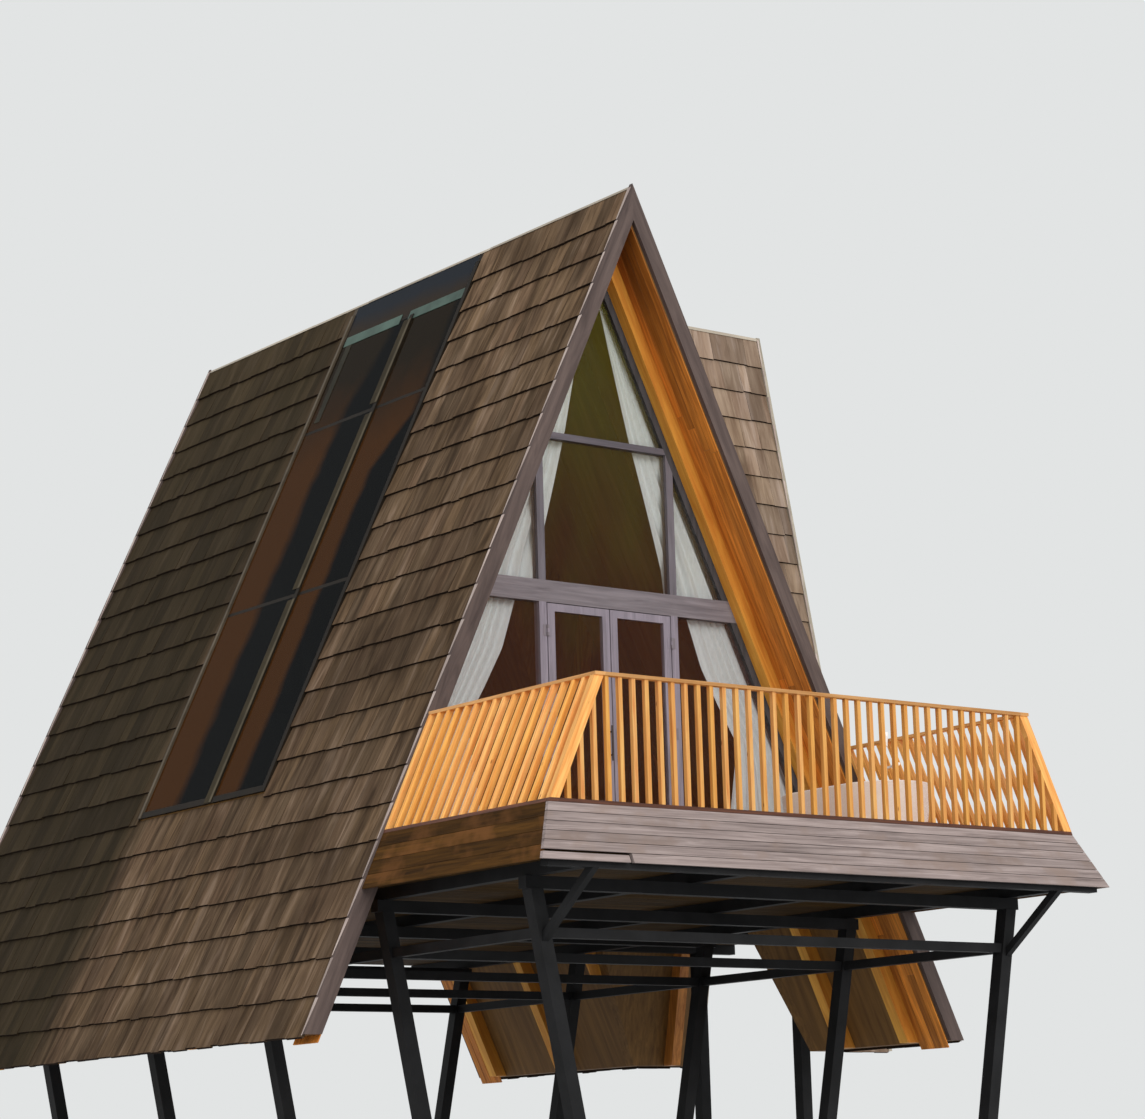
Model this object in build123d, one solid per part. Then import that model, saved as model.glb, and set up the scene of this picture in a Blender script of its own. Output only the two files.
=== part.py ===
from build123d import *
import math
import os

os.makedirs("parts", exist_ok=True)

# Driving dimensions of the main roof, in millimetres and degrees
ridge_height = 6120.0
roof_half_angle = 25.1
eave_drop = 1650.0
roof_length = 7660.0
roof_covering = 22.0
roof_thickness = 150.0

# Boards along the gable edges of the roof
barge_proud = 10.0
barge_width = 150.0
barge_thickness = 45.0
cap_width = 120.0
cap_thickness = 12.0

# Rafters under the roof lining, given by the front face of each pair
rafter_depth = 130.0
rafter_width = 120.0
rafter_setback = 420.0
rafters_before_wing = 2
rafters_behind_wing = 2

# Cross wing on the right, with its ridge level with the main ridge
wing_ridge_y = 3400.0
wing_half_angle = 11.4
wing_reach = 4420.0
wing_rafter_x = 2200.0

# Skylight in the left slope
skylight_front = 2350.0
skylight_width = 2300.0
skylight_bar_centre = 3310.0
skylight_sill_height = 650.0
skylight_transom_drops = (440.0, 1470.0, 3420.0)
skylight_frame_width = 60.0
skylight_cross_bar_width = 36.0
skylight_frame_proud = 15.0
skylight_glass_thickness = 12.0

# Deck in front of the cabin, with its leaning sides and flared front
deck_depth = 2300.0
floor_thickness = 40.0
fascia_height = 470.0
fascia_thickness = 35.0
fascia_flare_angle = 22.8
soffit_board_thickness = 20.0

# Balustrade
rail_height = 1050.0
top_rail_width = 70.0
top_rail_thickness = 28.0
bottom_rail_thickness = 30.0
baluster_size = 38.0
front_baluster_count = 43
side_baluster_count = 17
corner_post_face = 84.0
corner_post_depth = 56.0

# Frame under the floor
joist_width = 60.0
joist_count = 5
joist_inset = 276.0
steel_depth = 100.0
steel_width = 100.0
steel_clearance = 100.0
steel_line_inner = 970.0
post_rows = (-1700.0, 400.0, 2500.0, 4600.0, 6700.0)
post_size = 120.0
post_lean = 0.2
ground_drop = 3300.0
base_plate_size = 260.0
base_plate_thickness = 16.0
tie_height = -950.0
tie_size = 80.0
knee_drop = 340.0
knee_size = 60.0
edge_beam_inset = 60.0
wing_post_inset = 520.0
wing_joist_spread = 800.0

# Front glazing
glazing_frame_depth = 80.0
jamb_width = 70.0
sill_height = 50.0
transom_bottom = 2240.0
transom_depth = 200.0
upper_bar_drop = 2356.0
upper_bar_depth = 60.0
mullion_offset = 755.0
mullion_width = 80.0
glass_thickness = 12.0

# French doors
door_side_gap = 10.0
door_end_gap = 8.0
door_meeting_gap = 10.0
door_thickness = 45.0
stile_width = 80.0
door_top_rail = 70.0
door_bottom_rail = 140.0
hinge_pin_radius = 6.0
hinge_pin_clearance = 0.05
hinge_knuckle_radius = 10.0
hinge_knuckle_length = 34.0
hinge_knuckle_gap = 0.3
hinge_leaf_thickness = 3.0
hinge_leaf_width = 46.0
hinge_standoff = 2.0
hinge_heights = (300.0, 1140.0, 1980.0)
handle_height = 1000.0
handle_length = 320.0
handle_radius = 9.0
handle_stem_radius = 7.0
handle_stem_spread = 210.0
handle_standoff = 45.0

# Curtains behind the front glazing
curtain_gap = 0.3
curtain_thickness = 70.0
curtain_edge_depth = 300.0
upper_curtain_drop = 870.0
upper_curtain_widths = (16.0, 675.0)
lower_curtain_widths = (474.0, 492.0)
lower_curtain_fall_height = 1050.0
curtain_hem_gap = 10.0

# Soaking tub and its floor-standing filler
tub_edge_distance = 1107.0
tub_centre_y = -720.0
tub_half_width = 450.0
tub_half_length = 780.0
tub_height = 520.0
tub_wall = 35.0
tub_base_height = 90.0
tub_taper_angle = 7.0
tub_rim_chamfer = 8.0
filler_edge_distance = 622.0
filler_y = -600.0
filler_height = 1060.0
filler_radius = 14.0
filler_spout_height = 760.0
filler_spout_radius = 11.0
filler_reach = 300.0
filler_turn = 250.0
filler_base_radius = 45.0
filler_base_thickness = 12.0

# How far a cutting shape runs past the faces it cuts
cut_reach = 500.0

slope_tan = math.tan(math.radians(roof_half_angle))
slope_cos = math.cos(math.radians(roof_half_angle))
slope_sin = math.sin(math.radians(roof_half_angle))
wing_tan = math.tan(math.radians(wing_half_angle))
wing_cos = math.cos(math.radians(wing_half_angle))
flare_tan = math.tan(math.radians(fascia_flare_angle))
flare_cos = math.cos(math.radians(fascia_flare_angle))

deck_front = -deck_depth
glazing_front = rafter_setback + rafter_width
glazing_back = glazing_front + glazing_frame_depth
back_rafter_front = roof_length - rafter_setback - rafter_width
back_glazing_front = back_rafter_front - glazing_frame_depth
wing_rafter_end = wing_reach - rafter_setback
wing_glazing_outer = wing_rafter_end - rafter_width
joist_bottom = -(fascia_height - 2 * soffit_board_thickness - floor_thickness)
soffit_bottom = joist_bottom - soffit_board_thickness
steel_bottom = soffit_bottom - steel_depth
cross_bottom = steel_bottom - steel_depth
joist_back = roof_length - barge_thickness - fascia_thickness
wing_joist_end = wing_reach - barge_thickness - fascia_thickness
wing_post_x = wing_reach - wing_post_inset
rafter_inner = roof_thickness + rafter_depth
LEFT = -1
RIGHT = 1

parts = {}


def prism_y(points, y_low, y_high):
    outline = Polyline(*[(x, y_low, z) for x, z in points], close=True)
    return extrude(make_face(outline), amount=y_high - y_low, dir=(0, 1, 0))


def prism_x(points, x_low, x_high):
    outline = Polyline(*[(x_low, y, z) for y, z in points], close=True)
    return extrude(make_face(outline), amount=x_high - x_low, dir=(1, 0, 0))


def block(x_low, x_high, y_low, y_high, z_low, z_high):
    size = Box(x_high - x_low, y_high - y_low, z_high - z_low, align=(Align.MIN, Align.MIN, Align.MIN))
    return size.moved(Location((x_low, y_low, z_low)))


def roof_x(z, depth):
    """Half width of the main roof at height z, at a depth square to the slope."""
    return (ridge_height - z) * slope_tan - depth / slope_cos


def wing_y(z, depth):
    """Half width of the wing roof at height z, at a depth square to its slope."""
    return (ridge_height - z) * wing_tan - depth / wing_cos


def roof_apex(depth):
    return ridge_height - depth / slope_sin


def wing_apex(depth):
    return ridge_height - depth / (wing_tan * wing_cos)


def roof_strip(side, outer, inner, z_low, y_low, y_high):
    """A strip of the main slope from the ridge down to z_low."""
    points = [
        (0, roof_apex(outer)),
        (0, roof_apex(inner)),
        (side * roof_x(z_low, inner), z_low),
        (side * roof_x(z_low, outer), z_low),
    ]
    return prism_y(points, y_low, y_high)


def roof_band(side, outer, inner, z_low, z_high, y_low, y_high):
    """A band of the main slope between two level cuts."""
    points = [
        (side * roof_x(z_low, outer), z_low),
        (side * roof_x(z_high, outer), z_high),
        (side * roof_x(z_high, inner), z_high),
        (side * roof_x(z_low, inner), z_low),
    ]
    return prism_y(points, y_low, y_high)


def wing_strip(side, outer, inner, z_low, x_low, x_high):
    """A strip of the wing slope from its ridge down to z_low."""
    points = [
        (wing_ridge_y, wing_apex(outer)),
        (wing_ridge_y, wing_apex(inner)),
        (wing_ridge_y + side * wing_y(z_low, inner), z_low),
        (wing_ridge_y + side * wing_y(z_low, outer), z_low),
    ]
    return prism_x(points, x_low, x_high)


def inside_roof(depth, z_low, z_high, y_low, y_high):
    """Everything between the two main slopes, at a depth square to them."""
    if z_high >= roof_apex(depth):
        points = [(-roof_x(z_low, depth), z_low), (roof_x(z_low, depth), z_low), (0, roof_apex(depth))]
    else:
        points = [
            (-roof_x(z_low, depth), z_low),
            (roof_x(z_low, depth), z_low),
            (roof_x(z_high, depth), z_high),
            (-roof_x(z_high, depth), z_high),
        ]
    return prism_y(points, y_low, y_high)


def inside_wing(depth, z_low, z_high, x_low, x_high):
    """Everything between the two wing slopes, at a depth square to them."""
    low = wing_y(z_low, depth)
    if z_high >= wing_apex(depth):
        points = [(wing_ridge_y - low, z_low), (wing_ridge_y + low, z_low), (wing_ridge_y, wing_apex(depth))]
    else:
        high = wing_y(z_high, depth)
        points = [
            (wing_ridge_y - low, z_low),
            (wing_ridge_y + low, z_low),
            (wing_ridge_y + high, z_high),
            (wing_ridge_y - high, z_high),
        ]
    return prism_x(points, x_low, x_high)


def flare_y(z, depth):
    """Position of the flared front at height z, at a depth square to its face."""
    return deck_front + z * flare_tan + depth / flare_cos


def behind_flare(depth, z_low, z_high, y_high, x_reach):
    """Everything behind the flared front of the deck."""
    points = [
        (flare_y(z_low, depth), z_low),
        (y_high, z_low),
        (y_high, z_high),
        (flare_y(z_high, depth), z_high),
    ]
    return prism_x(points, -x_reach, x_reach)


def solids_of(shape):
    return list(shape.solids())


def add(name, *shapes):
    """Collects the solids of one named piece."""
    found = []
    for shape in shapes:
        found.extend(solids_of(shape))
    parts[name] = found


# Main roof slopes, lined inside, with the skylight well and the wing cut out
eave_z = -eave_drop
panel_front = barge_thickness
panel_back = roof_length - barge_thickness
skylight_back = skylight_front + skylight_width
wing_hull = inside_wing(roof_covering, eave_z - cut_reach, ridge_height, 0, wing_reach + cut_reach)
main_hull = inside_roof(roof_thickness, eave_z - cut_reach, ridge_height, -cut_reach, roof_length + cut_reach)

left_slope = roof_strip(LEFT, roof_covering, roof_thickness, eave_z, panel_front, panel_back)
skylight_well = roof_strip(LEFT, 0, roof_thickness + cut_reach, skylight_sill_height, skylight_front,
                           skylight_back)
add("roof_left", left_slope - skylight_well)

right_slope = roof_strip(RIGHT, roof_covering, roof_thickness, eave_z, panel_front, panel_back) - wing_hull
eave_x = roof_x(eave_z, 0)
add("roof_right_front", right_slope & block(0, eave_x, 0, wing_ridge_y, eave_z, ridge_height))
add("roof_right_back", right_slope & block(0, eave_x, wing_ridge_y, roof_length, eave_z, ridge_height))

# Wing roof slopes, running in to the lining of the main roof
wing_panel_end = wing_reach - barge_thickness
add("wing_roof_front", wing_strip(LEFT, roof_covering, roof_thickness, eave_z, 0, wing_panel_end) - main_hull)
add("wing_roof_back", wing_strip(RIGHT, roof_covering, roof_thickness, eave_z, 0, wing_panel_end) - main_hull)

# Barge boards, mitred at each apex
for end, y_low in (("front", 0.0), ("back", panel_back)):
    for word, side in (("left", LEFT), ("right", RIGHT)):
        board = roof_strip(side, -barge_proud, barge_width - barge_proud, eave_z, y_low,
                           y_low + barge_thickness)
        add(f"{end}_barge_{word}", board)
for word, side in (("front", LEFT), ("back", RIGHT)):
    board = wing_strip(side, -barge_proud, barge_width - barge_proud, eave_z, wing_panel_end, wing_reach)
    below_apex = block(0, wing_reach, wing_ridge_y - roof_length, wing_ridge_y + roof_length, eave_z,
                       ridge_height + barge_proud)
    add(f"wing_barge_{word}", board & below_apex)

# Ridge caps folded over both ridges
main_cap = Part()
for side in (LEFT, RIGHT):
    cap_low = ridge_height - cap_width * slope_cos
    main_cap += roof_strip(side, roof_covering - cap_thickness, roof_covering, cap_low,
                           panel_front, panel_back)
main_cap -= roof_strip(LEFT, -barge_proud, roof_thickness, skylight_sill_height,
                       skylight_front, skylight_back)
branch_cap = Part()
for side in (LEFT, RIGHT):
    cap_low = ridge_height - cap_width * wing_cos
    wing_cap = wing_strip(side, roof_covering - cap_thickness, roof_covering, cap_low, 0, wing_panel_end)
    branch_cap += wing_cap - inside_roof(roof_covering - cap_thickness, cap_low - cut_reach, ridge_height, 0,
                                         roof_length)
add("ridge_cap", main_cap)
add("wing_ridge_cap", branch_cap)

# Rafters in pairs, set on the lining
wing_front_rafter = skylight_front - rafter_width
front_rafter_step = (wing_front_rafter - rafter_setback) / rafters_before_wing
back_rafter_step = (back_rafter_front - skylight_back) / rafters_behind_wing
rafter_fronts = [rafter_setback + i * front_rafter_step for i in range(rafters_before_wing + 1)]
rafter_fronts += [skylight_back + i * back_rafter_step for i in range(rafters_behind_wing + 1)]
left_rafters = []
right_rafters = []
for y_low in rafter_fronts:
    left_rafters.append(roof_strip(LEFT, roof_thickness, rafter_inner, eave_z, y_low, y_low + rafter_width))
    right_rafter = roof_strip(RIGHT, roof_thickness, rafter_inner, eave_z, y_low, y_low + rafter_width)
    right_rafters.append(right_rafter - wing_hull)
add("rafters_left", *left_rafters)
add("rafters_right", *right_rafters)

wing_rafters = []
for x_low in (wing_rafter_x, wing_glazing_outer):
    for side in (LEFT, RIGHT):
        rafter = wing_strip(side, roof_thickness, rafter_inner, eave_z, x_low, x_low + rafter_width)
        wing_rafters.append(rafter - main_hull)
add("wing_rafters", *wing_rafters)

# Floor of the cabin and of the wing, notched round the rafters
cabin_floor = inside_roof(roof_thickness, -floor_thickness, 0, 0, joist_back)
for rafter in left_rafters + right_rafters:
    cabin_floor -= rafter
add("cabin_floor", cabin_floor)

wing_floor = inside_wing(roof_thickness, -floor_thickness, 0, 0, wing_joist_end) - main_hull
for rafter in wing_rafters:
    wing_floor -= rafter
add("wing_floor", wing_floor)

# Deck boards between the leaning sides
deck_reach = roof_x(-fascia_height, 0) + cut_reach
deck_start = deck_front - cut_reach
deck_slab = inside_roof(fascia_thickness, -floor_thickness, 0, deck_start, 0)
add("deck_floor", deck_slab & behind_flare(fascia_thickness, -floor_thickness, 0, 0, deck_reach))

# Fascias
side_room = behind_flare(fascia_thickness, -fascia_height, 0, 0, deck_reach)
front_fascia = behind_flare(0, -fascia_height, 0, 0, deck_reach) - side_room
add("fascia_front", front_fascia & inside_roof(0, -fascia_height, 0, deck_start, 0))
for word, side in (("left", LEFT), ("right", RIGHT)):
    board = roof_band(side, 0, fascia_thickness, -fascia_height, 0, deck_start, 0)
    add(f"fascia_{word}", board & side_room)

# Boards closing the underside
deck_soffit = inside_roof(fascia_thickness, soffit_bottom, joist_bottom, deck_start, 0)
deck_soffit &= behind_flare(fascia_thickness, soffit_bottom, joist_bottom, 0, deck_reach)
cabin_soffit = inside_roof(roof_thickness, soffit_bottom, joist_bottom, 0, joist_back)
for rafter in left_rafters + right_rafters:
    cabin_soffit -= rafter
wing_soffit = inside_wing(roof_thickness, soffit_bottom, joist_bottom, 0, wing_joist_end) - main_hull
for rafter in wing_rafters:
    wing_soffit -= rafter
add("underfloor_boards", deck_soffit, cabin_soffit, wing_soffit)

# Joists on edge between floor and underside
joists = []
outer_joist = roof_x(-floor_thickness, rafter_inner) - joist_inset
for i in range(joist_count):
    x = outer_joist * (2 * i / (joist_count - 1) - 1)
    joists.append(block(x - joist_width / 2, x + joist_width / 2, deck_front + fascia_thickness * 2,
                        joist_back, joist_bottom, -floor_thickness))
wing_joist_start = roof_x(joist_bottom, roof_thickness)
for y in (wing_ridge_y - wing_joist_spread, wing_ridge_y, wing_ridge_y + wing_joist_spread):
    joists.append(block(wing_joist_start, wing_joist_end, y - joist_width / 2, y + joist_width / 2,
                        joist_bottom, -floor_thickness))
add("floor_joists", *joists)

# Rim boards closing the ends of the floor
add("rim_boards",
    inside_roof(rafter_inner, soffit_bottom, 0, joist_back, panel_back),
    inside_wing(rafter_inner, soffit_bottom, 0, wing_joist_end, wing_panel_end))

# Steel beams under the joists
front_beam_back = flare_y(soffit_bottom, fascia_thickness) + steel_width
steel_line_outer = roof_x(soffit_bottom, rafter_inner) - steel_clearance - steel_width / 2
long_beams = []
for x in (-steel_line_outer, -steel_line_inner, steel_line_inner, steel_line_outer):
    long_beams.append(block(x - steel_width / 2, x + steel_width / 2, front_beam_back, panel_back,
                            steel_bottom, soffit_bottom))
add("steel_long_beams", *long_beams)
wing_beams = []
for y in (wing_ridge_y - wing_joist_spread, wing_ridge_y + wing_joist_spread):
    wing_beams.append(block(steel_line_outer + steel_width / 2, wing_panel_end, y - steel_width / 2,
                            y + steel_width / 2, steel_bottom, soffit_bottom))
edge_beam_end = roof_x(-fascia_height, fascia_thickness) - edge_beam_inset
edge_beam = block(-edge_beam_end, edge_beam_end, front_beam_back - steel_width, front_beam_back,
                  steel_bottom, soffit_bottom)
cross_end = steel_line_outer + steel_width
cross_beams = [edge_beam]
for y in post_rows:
    cross_beams.append(block(-cross_end, cross_end, y - steel_width / 2, y + steel_width / 2,
                             cross_bottom, steel_bottom))
add("steel_cross_beams", *cross_beams, *wing_beams)

# Leaning posts on base plates
posts = []
post_drop = ground_drop + cross_bottom - base_plate_thickness
foot_z = -ground_drop + base_plate_thickness
half = post_size / 2
half_plate = base_plate_size / 2
for side in (LEFT, RIGHT):
    top_x = side * steel_line_outer
    foot_x = top_x - side * post_lean * post_drop
    for y in post_rows:
        shaft = prism_y([(top_x - half, cross_bottom), (top_x + half, cross_bottom),
                         (foot_x + half, foot_z), (foot_x - half, foot_z)], y - half, y + half)
        plate = block(foot_x - half_plate, foot_x + half_plate, y - half_plate, y + half_plate,
                      -ground_drop, foot_z)
        posts.append(shaft + plate)
for y in (wing_ridge_y - wing_joist_spread, wing_ridge_y + wing_joist_spread):
    shaft = block(wing_post_x - half, wing_post_x + half, y - half, y + half, foot_z, steel_bottom)
    plate = block(wing_post_x - half_plate, wing_post_x + half_plate, y - half_plate, y + half_plate,
                  -ground_drop, foot_z)
    posts.append(shaft + plate)
add("steel_posts", *posts)


def post_x(z):
    return steel_line_outer - post_lean * (cross_bottom - z)


# Ties between the posts, along and across
ties = []
half_tie = tie_size / 2
for side in (LEFT, RIGHT):
    for y_low, y_high in zip(post_rows[:-1], post_rows[1:]):
        x = side * post_x(tie_height)
        ties.append(block(x - half_tie, x + half_tie, y_low + post_size / 2, y_high - post_size / 2,
                          tie_height - half_tie, tie_height + half_tie))
for y in post_rows:
    tie = block(-steel_line_outer, steel_line_outer, y - half_tie, y + half_tie,
                tie_height - half_tie, tie_height + half_tie)
    for post in posts:
        tie -= post
    pieces = sorted(solids_of(tie), key=lambda solid: -solid.volume)
    ties.append(pieces[0])

# Knee braces from the front posts to the edge beam
knee_foot_y = post_rows[0] - post_size / 2
knee_foot_z = cross_bottom - knee_drop
knee_run = knee_foot_y - (front_beam_back - steel_width / 2)
knee_climb = steel_bottom - knee_foot_z
knee_length = math.hypot(knee_run, knee_climb)
foot_cut = knee_size * knee_length / knee_run
head_cut = knee_size * knee_length / knee_climb
head_y = knee_foot_y - knee_run + head_cut / 2
for side in (LEFT, RIGHT):
    x = side * post_x(knee_foot_z)
    outline = [(knee_foot_y, knee_foot_z), (knee_foot_y, knee_foot_z - foot_cut),
               (head_y - head_cut, steel_bottom), (head_y, steel_bottom)]
    ties.append(prism_x(outline, x - knee_size / 2, x + knee_size / 2))
add("post_bracing", *ties)

# Balustrade across the front, cut to the slope at each end
top_rail_low = rail_height - top_rail_thickness
half_bar = baluster_size / 2
rail_line = deck_front + half_bar
front_room = inside_roof(0, 0, rail_height, deck_start, 0)
front_bars = block(-roof_x(0, 0), roof_x(0, 0), deck_front, deck_front + baluster_size, 0,
                   bottom_rail_thickness)
front_pitch = 2 * roof_x(0, 0) / front_baluster_count
for i in range(front_baluster_count):
    x = -roof_x(0, 0) + (i + 0.5) * front_pitch
    front_bars += block(x - half_bar, x + half_bar, deck_front, deck_front + baluster_size,
                        bottom_rail_thickness, top_rail_low)
for side in (LEFT, RIGHT):
    front_bars += roof_band(side, 0, corner_post_face, 0, top_rail_low, deck_front,
                            deck_front + corner_post_depth)
front_bars &= front_room
rail_end = roof_x(rail_height, half_bar) + top_rail_width / 2
front_bars += block(-rail_end, rail_end, rail_line - top_rail_width / 2, rail_line + top_rail_width / 2,
                    top_rail_low, rail_height)
add("rail_front", front_bars)

# Balustrade down each side, leaning in the plane of the roof, at the pitch of the front
side_front = deck_front + corner_post_depth
for word, side in (("left", LEFT), ("right", RIGHT)):
    fence = roof_band(side, 0, baluster_size, 0, bottom_rail_thickness, side_front, 0)
    for i in range(side_baluster_count):
        y = -half_bar - i * front_pitch
        fence += roof_band(side, 0, baluster_size, bottom_rail_thickness, top_rail_low, y - half_bar,
                           y + half_bar)
    rail_middle = side * roof_x(rail_height, half_bar)
    fence += block(rail_middle - top_rail_width / 2, rail_middle + top_rail_width / 2,
                   rail_line + top_rail_width / 2, 0, top_rail_low, rail_height)
    add(f"rail_{word}", fence)

# Glazed gable frames: members are sized from the same values at both ends
jamb_outer = rafter_inner
jamb_inner = rafter_inner + jamb_width
transom_top = transom_bottom + transom_depth
upper_bar_bottom = ridge_height - upper_bar_drop
upper_bar_top = upper_bar_bottom + upper_bar_depth
half_mullion = mullion_width / 2


def gable_sill(y_low, y_high):
    return inside_roof(jamb_inner, 0, sill_height, y_low, y_high)


def gable_transom(y_low, y_high):
    return inside_roof(jamb_outer, transom_bottom, transom_top, y_low, y_high)


def gable_jamb(side, y_low, y_high):
    return roof_strip(side, jamb_outer, jamb_inner, 0, y_low, y_high) - gable_transom(y_low, y_high)


def gable_upper_bar(y_low, y_high):
    return inside_roof(jamb_inner, upper_bar_bottom, upper_bar_top, y_low, y_high)


def gable_mullions(y_low, y_high):
    uprights = []
    for side in (LEFT, RIGHT):
        x = side * mullion_offset
        upright = block(x - half_mullion, x + half_mullion, y_low, y_high, transom_top, upper_bar_top)
        uprights.append((upright & inside_roof(jamb_inner, 0, ridge_height, y_low, y_high))
                        - gable_upper_bar(y_low, y_high))
        uprights.append(block(x - half_mullion, x + half_mullion, y_low, y_high, sill_height, transom_bottom))
    return uprights


def gable_glass(y_low, y_high):
    y_middle = (y_low + y_high) / 2
    sheet_low = y_middle - glass_thickness / 2
    sheet_high = y_middle + glass_thickness / 2
    sheet = inside_roof(jamb_inner, sill_height, ridge_height, sheet_low, sheet_high)
    sheet -= gable_transom(y_low, y_high)
    sheet -= gable_upper_bar(y_low, y_high)
    for upright in gable_mullions(y_low, y_high):
        sheet -= upright
    return sheet


# Front gable, with the doorway between the lower mullions
add("front_sill", gable_sill(glazing_front, glazing_back))
add("front_transom", gable_transom(glazing_front, glazing_back))
add("front_jamb_left", gable_jamb(LEFT, glazing_front, glazing_back))
add("front_jamb_right", gable_jamb(RIGHT, glazing_front, glazing_back))
add("front_upper_bar", gable_upper_bar(glazing_front, glazing_back))
add("front_mullions", *gable_mullions(glazing_front, glazing_back))
doorway = block(-mullion_offset, mullion_offset, glazing_front, glazing_back, 0, transom_bottom)
add("front_glass", gable_glass(glazing_front, glazing_back) - doorway)

# Back gable repeats it with no doorway
back_frame = gable_sill(back_glazing_front, back_rafter_front)
back_frame += gable_transom(back_glazing_front, back_rafter_front)
back_frame += gable_upper_bar(back_glazing_front, back_rafter_front)
for side in (LEFT, RIGHT):
    back_frame += gable_jamb(side, back_glazing_front, back_rafter_front)
for upright in gable_mullions(back_glazing_front, back_rafter_front):
    back_frame += upright
add("back_frame", back_frame)
add("back_glass", gable_glass(back_glazing_front, back_rafter_front))

# Wing gable, narrower, with the same sill and transom
wing_glazing_inner = wing_glazing_outer - glazing_frame_depth
wing_opening = inside_wing(jamb_inner, sill_height, ridge_height, wing_glazing_inner, wing_glazing_outer)
wing_frame = inside_wing(jamb_outer, 0, ridge_height, wing_glazing_inner, wing_glazing_outer) - wing_opening
wing_frame += inside_wing(jamb_outer, transom_bottom, transom_top, wing_glazing_inner, wing_glazing_outer)
add("wing_frame", wing_frame)
wing_glass_middle = wing_glazing_outer - glazing_frame_depth / 2
wing_sheet = inside_wing(jamb_inner, sill_height, ridge_height, wing_glass_middle - glass_thickness / 2,
                         wing_glass_middle + glass_thickness / 2)
add("wing_glass", wing_sheet - wing_frame)

# French doors, each a frame of stiles and rails round one pane
leaf_outer = mullion_offset - half_mullion - door_side_gap
leaf_inner = door_meeting_gap / 2
leaf_low = sill_height + door_end_gap
leaf_high = transom_bottom - door_end_gap
leaf_back = glazing_front + door_thickness
pane_low = leaf_low + door_bottom_rail
pane_high = leaf_high - door_top_rail
hinge_x = leaf_outer + door_side_gap / 2
hinge_y = glazing_front - hinge_knuckle_radius - hinge_standoff
hinge_pins = []


def upright_rod(radius, x, z_low, z_high):
    rod = Cylinder(radius, z_high - z_low, align=(Align.CENTER, Align.CENTER, Align.MIN))
    return rod.moved(Location((x, hinge_y, z_low)))


def span_block(x_one, x_two, y_low, y_high, z_low, z_high):
    return block(min(x_one, x_two), max(x_one, x_two), y_low, y_high, z_low, z_high)


def hinge_leaf(x, way, z_low, z_high, knuckle_low, knuckle_high):
    """A flat leaf on the timber, a web out to the pin line and its knuckle."""
    near = x + way * (hinge_knuckle_radius + hinge_standoff)
    flap = span_block(near, x + way * hinge_leaf_width, glazing_front - hinge_leaf_thickness, glazing_front,
                      z_low, z_high)
    link = span_block(near, near + way * hinge_leaf_thickness, hinge_y, glazing_front,
                      knuckle_low, knuckle_high)
    web = span_block(x + way * hinge_pin_radius, near, hinge_y, hinge_y + hinge_leaf_thickness,
                     knuckle_low, knuckle_high)
    return flap + link + web + upright_rod(hinge_knuckle_radius, x, knuckle_low, knuckle_high)


for word, side in (("left", LEFT), ("right", RIGHT)):
    leaf = span_block(side * leaf_inner, side * leaf_outer, glazing_front, leaf_back, leaf_low, leaf_high)
    pane_near = side * (leaf_inner + stile_width)
    pane_far = side * (leaf_outer - stile_width)
    leaf -= span_block(pane_near, pane_far, glazing_front, leaf_back, pane_low, pane_high)
    pane_middle = glazing_front + door_thickness / 2
    pane = span_block(pane_near, pane_far, pane_middle - glass_thickness / 2,
                      pane_middle + glass_thickness / 2, pane_low, pane_high)
    for z in hinge_heights:
        x = side * hinge_x
        mid_low = z - hinge_knuckle_length / 2
        mid_high = z + hinge_knuckle_length / 2
        z_low = mid_low - hinge_knuckle_length
        z_high = mid_high + hinge_knuckle_length
        leaf += hinge_leaf(x, -side, z_low, z_high, mid_low, mid_high)
        leaf -= upright_rod(hinge_pin_radius + hinge_pin_clearance, x, mid_low, mid_high)
        fixed = upright_rod(hinge_pin_radius, x, z_low, z_high)
        fixed += hinge_leaf(x, side, z_low, z_high, z_low, mid_low - hinge_knuckle_gap)
        fixed += hinge_leaf(x, side, z_low, z_high, mid_high + hinge_knuckle_gap, z_high)
        hinge_pins.append(fixed)
    add(f"door_{word}", leaf)
    add(f"door_glass_{word}", pane)
    handle_x = side * (leaf_inner + stile_width / 2)
    handle_y = glazing_front - handle_standoff
    bar = Cylinder(handle_radius, handle_length).moved(Location((handle_x, handle_y, handle_height)))
    for offset in (-handle_stem_spread / 2, handle_stem_spread / 2):
        stem = Cylinder(handle_stem_radius, handle_standoff, rotation=(90, 0, 0))
        bar += stem.moved(Location((handle_x, glazing_front - handle_standoff / 2, handle_height + offset)))
    add(f"door_handle_{word}", bar)
add("hinge_pins", *hinge_pins)

# Skylight: a curb of side members, centre bar and cross bars with sheets between
sky_outer = -skylight_frame_proud
curb = Part()
half_bar_width = skylight_frame_width / 2
half_cross_bar = skylight_cross_bar_width / 2
for y_low, y_high in ((skylight_front, skylight_front + skylight_frame_width),
                      (skylight_back - skylight_frame_width, skylight_back)):
    curb += roof_strip(LEFT, sky_outer, roof_thickness, skylight_sill_height, y_low, y_high)
curb += roof_band(LEFT, sky_outer, roof_thickness, skylight_sill_height,
                  ridge_height - skylight_transom_drops[0],
                  skylight_bar_centre - half_bar_width, skylight_bar_centre + half_bar_width)
curb += roof_band(LEFT, sky_outer, roof_thickness, skylight_sill_height,
                  skylight_sill_height + skylight_frame_width, skylight_front, skylight_back)
for drop in skylight_transom_drops:
    z = ridge_height - drop
    curb += roof_band(LEFT, 0, skylight_frame_width, z - half_cross_bar, z + half_cross_bar,
                      skylight_front, skylight_back)
curb -= roof_strip(LEFT, sky_outer, 0, ridge_height - cap_width * slope_cos, skylight_front, skylight_back)
add("skylight_frame", curb)
sheets = roof_strip(LEFT, 0, skylight_glass_thickness, skylight_sill_height, skylight_front, skylight_back)
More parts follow.
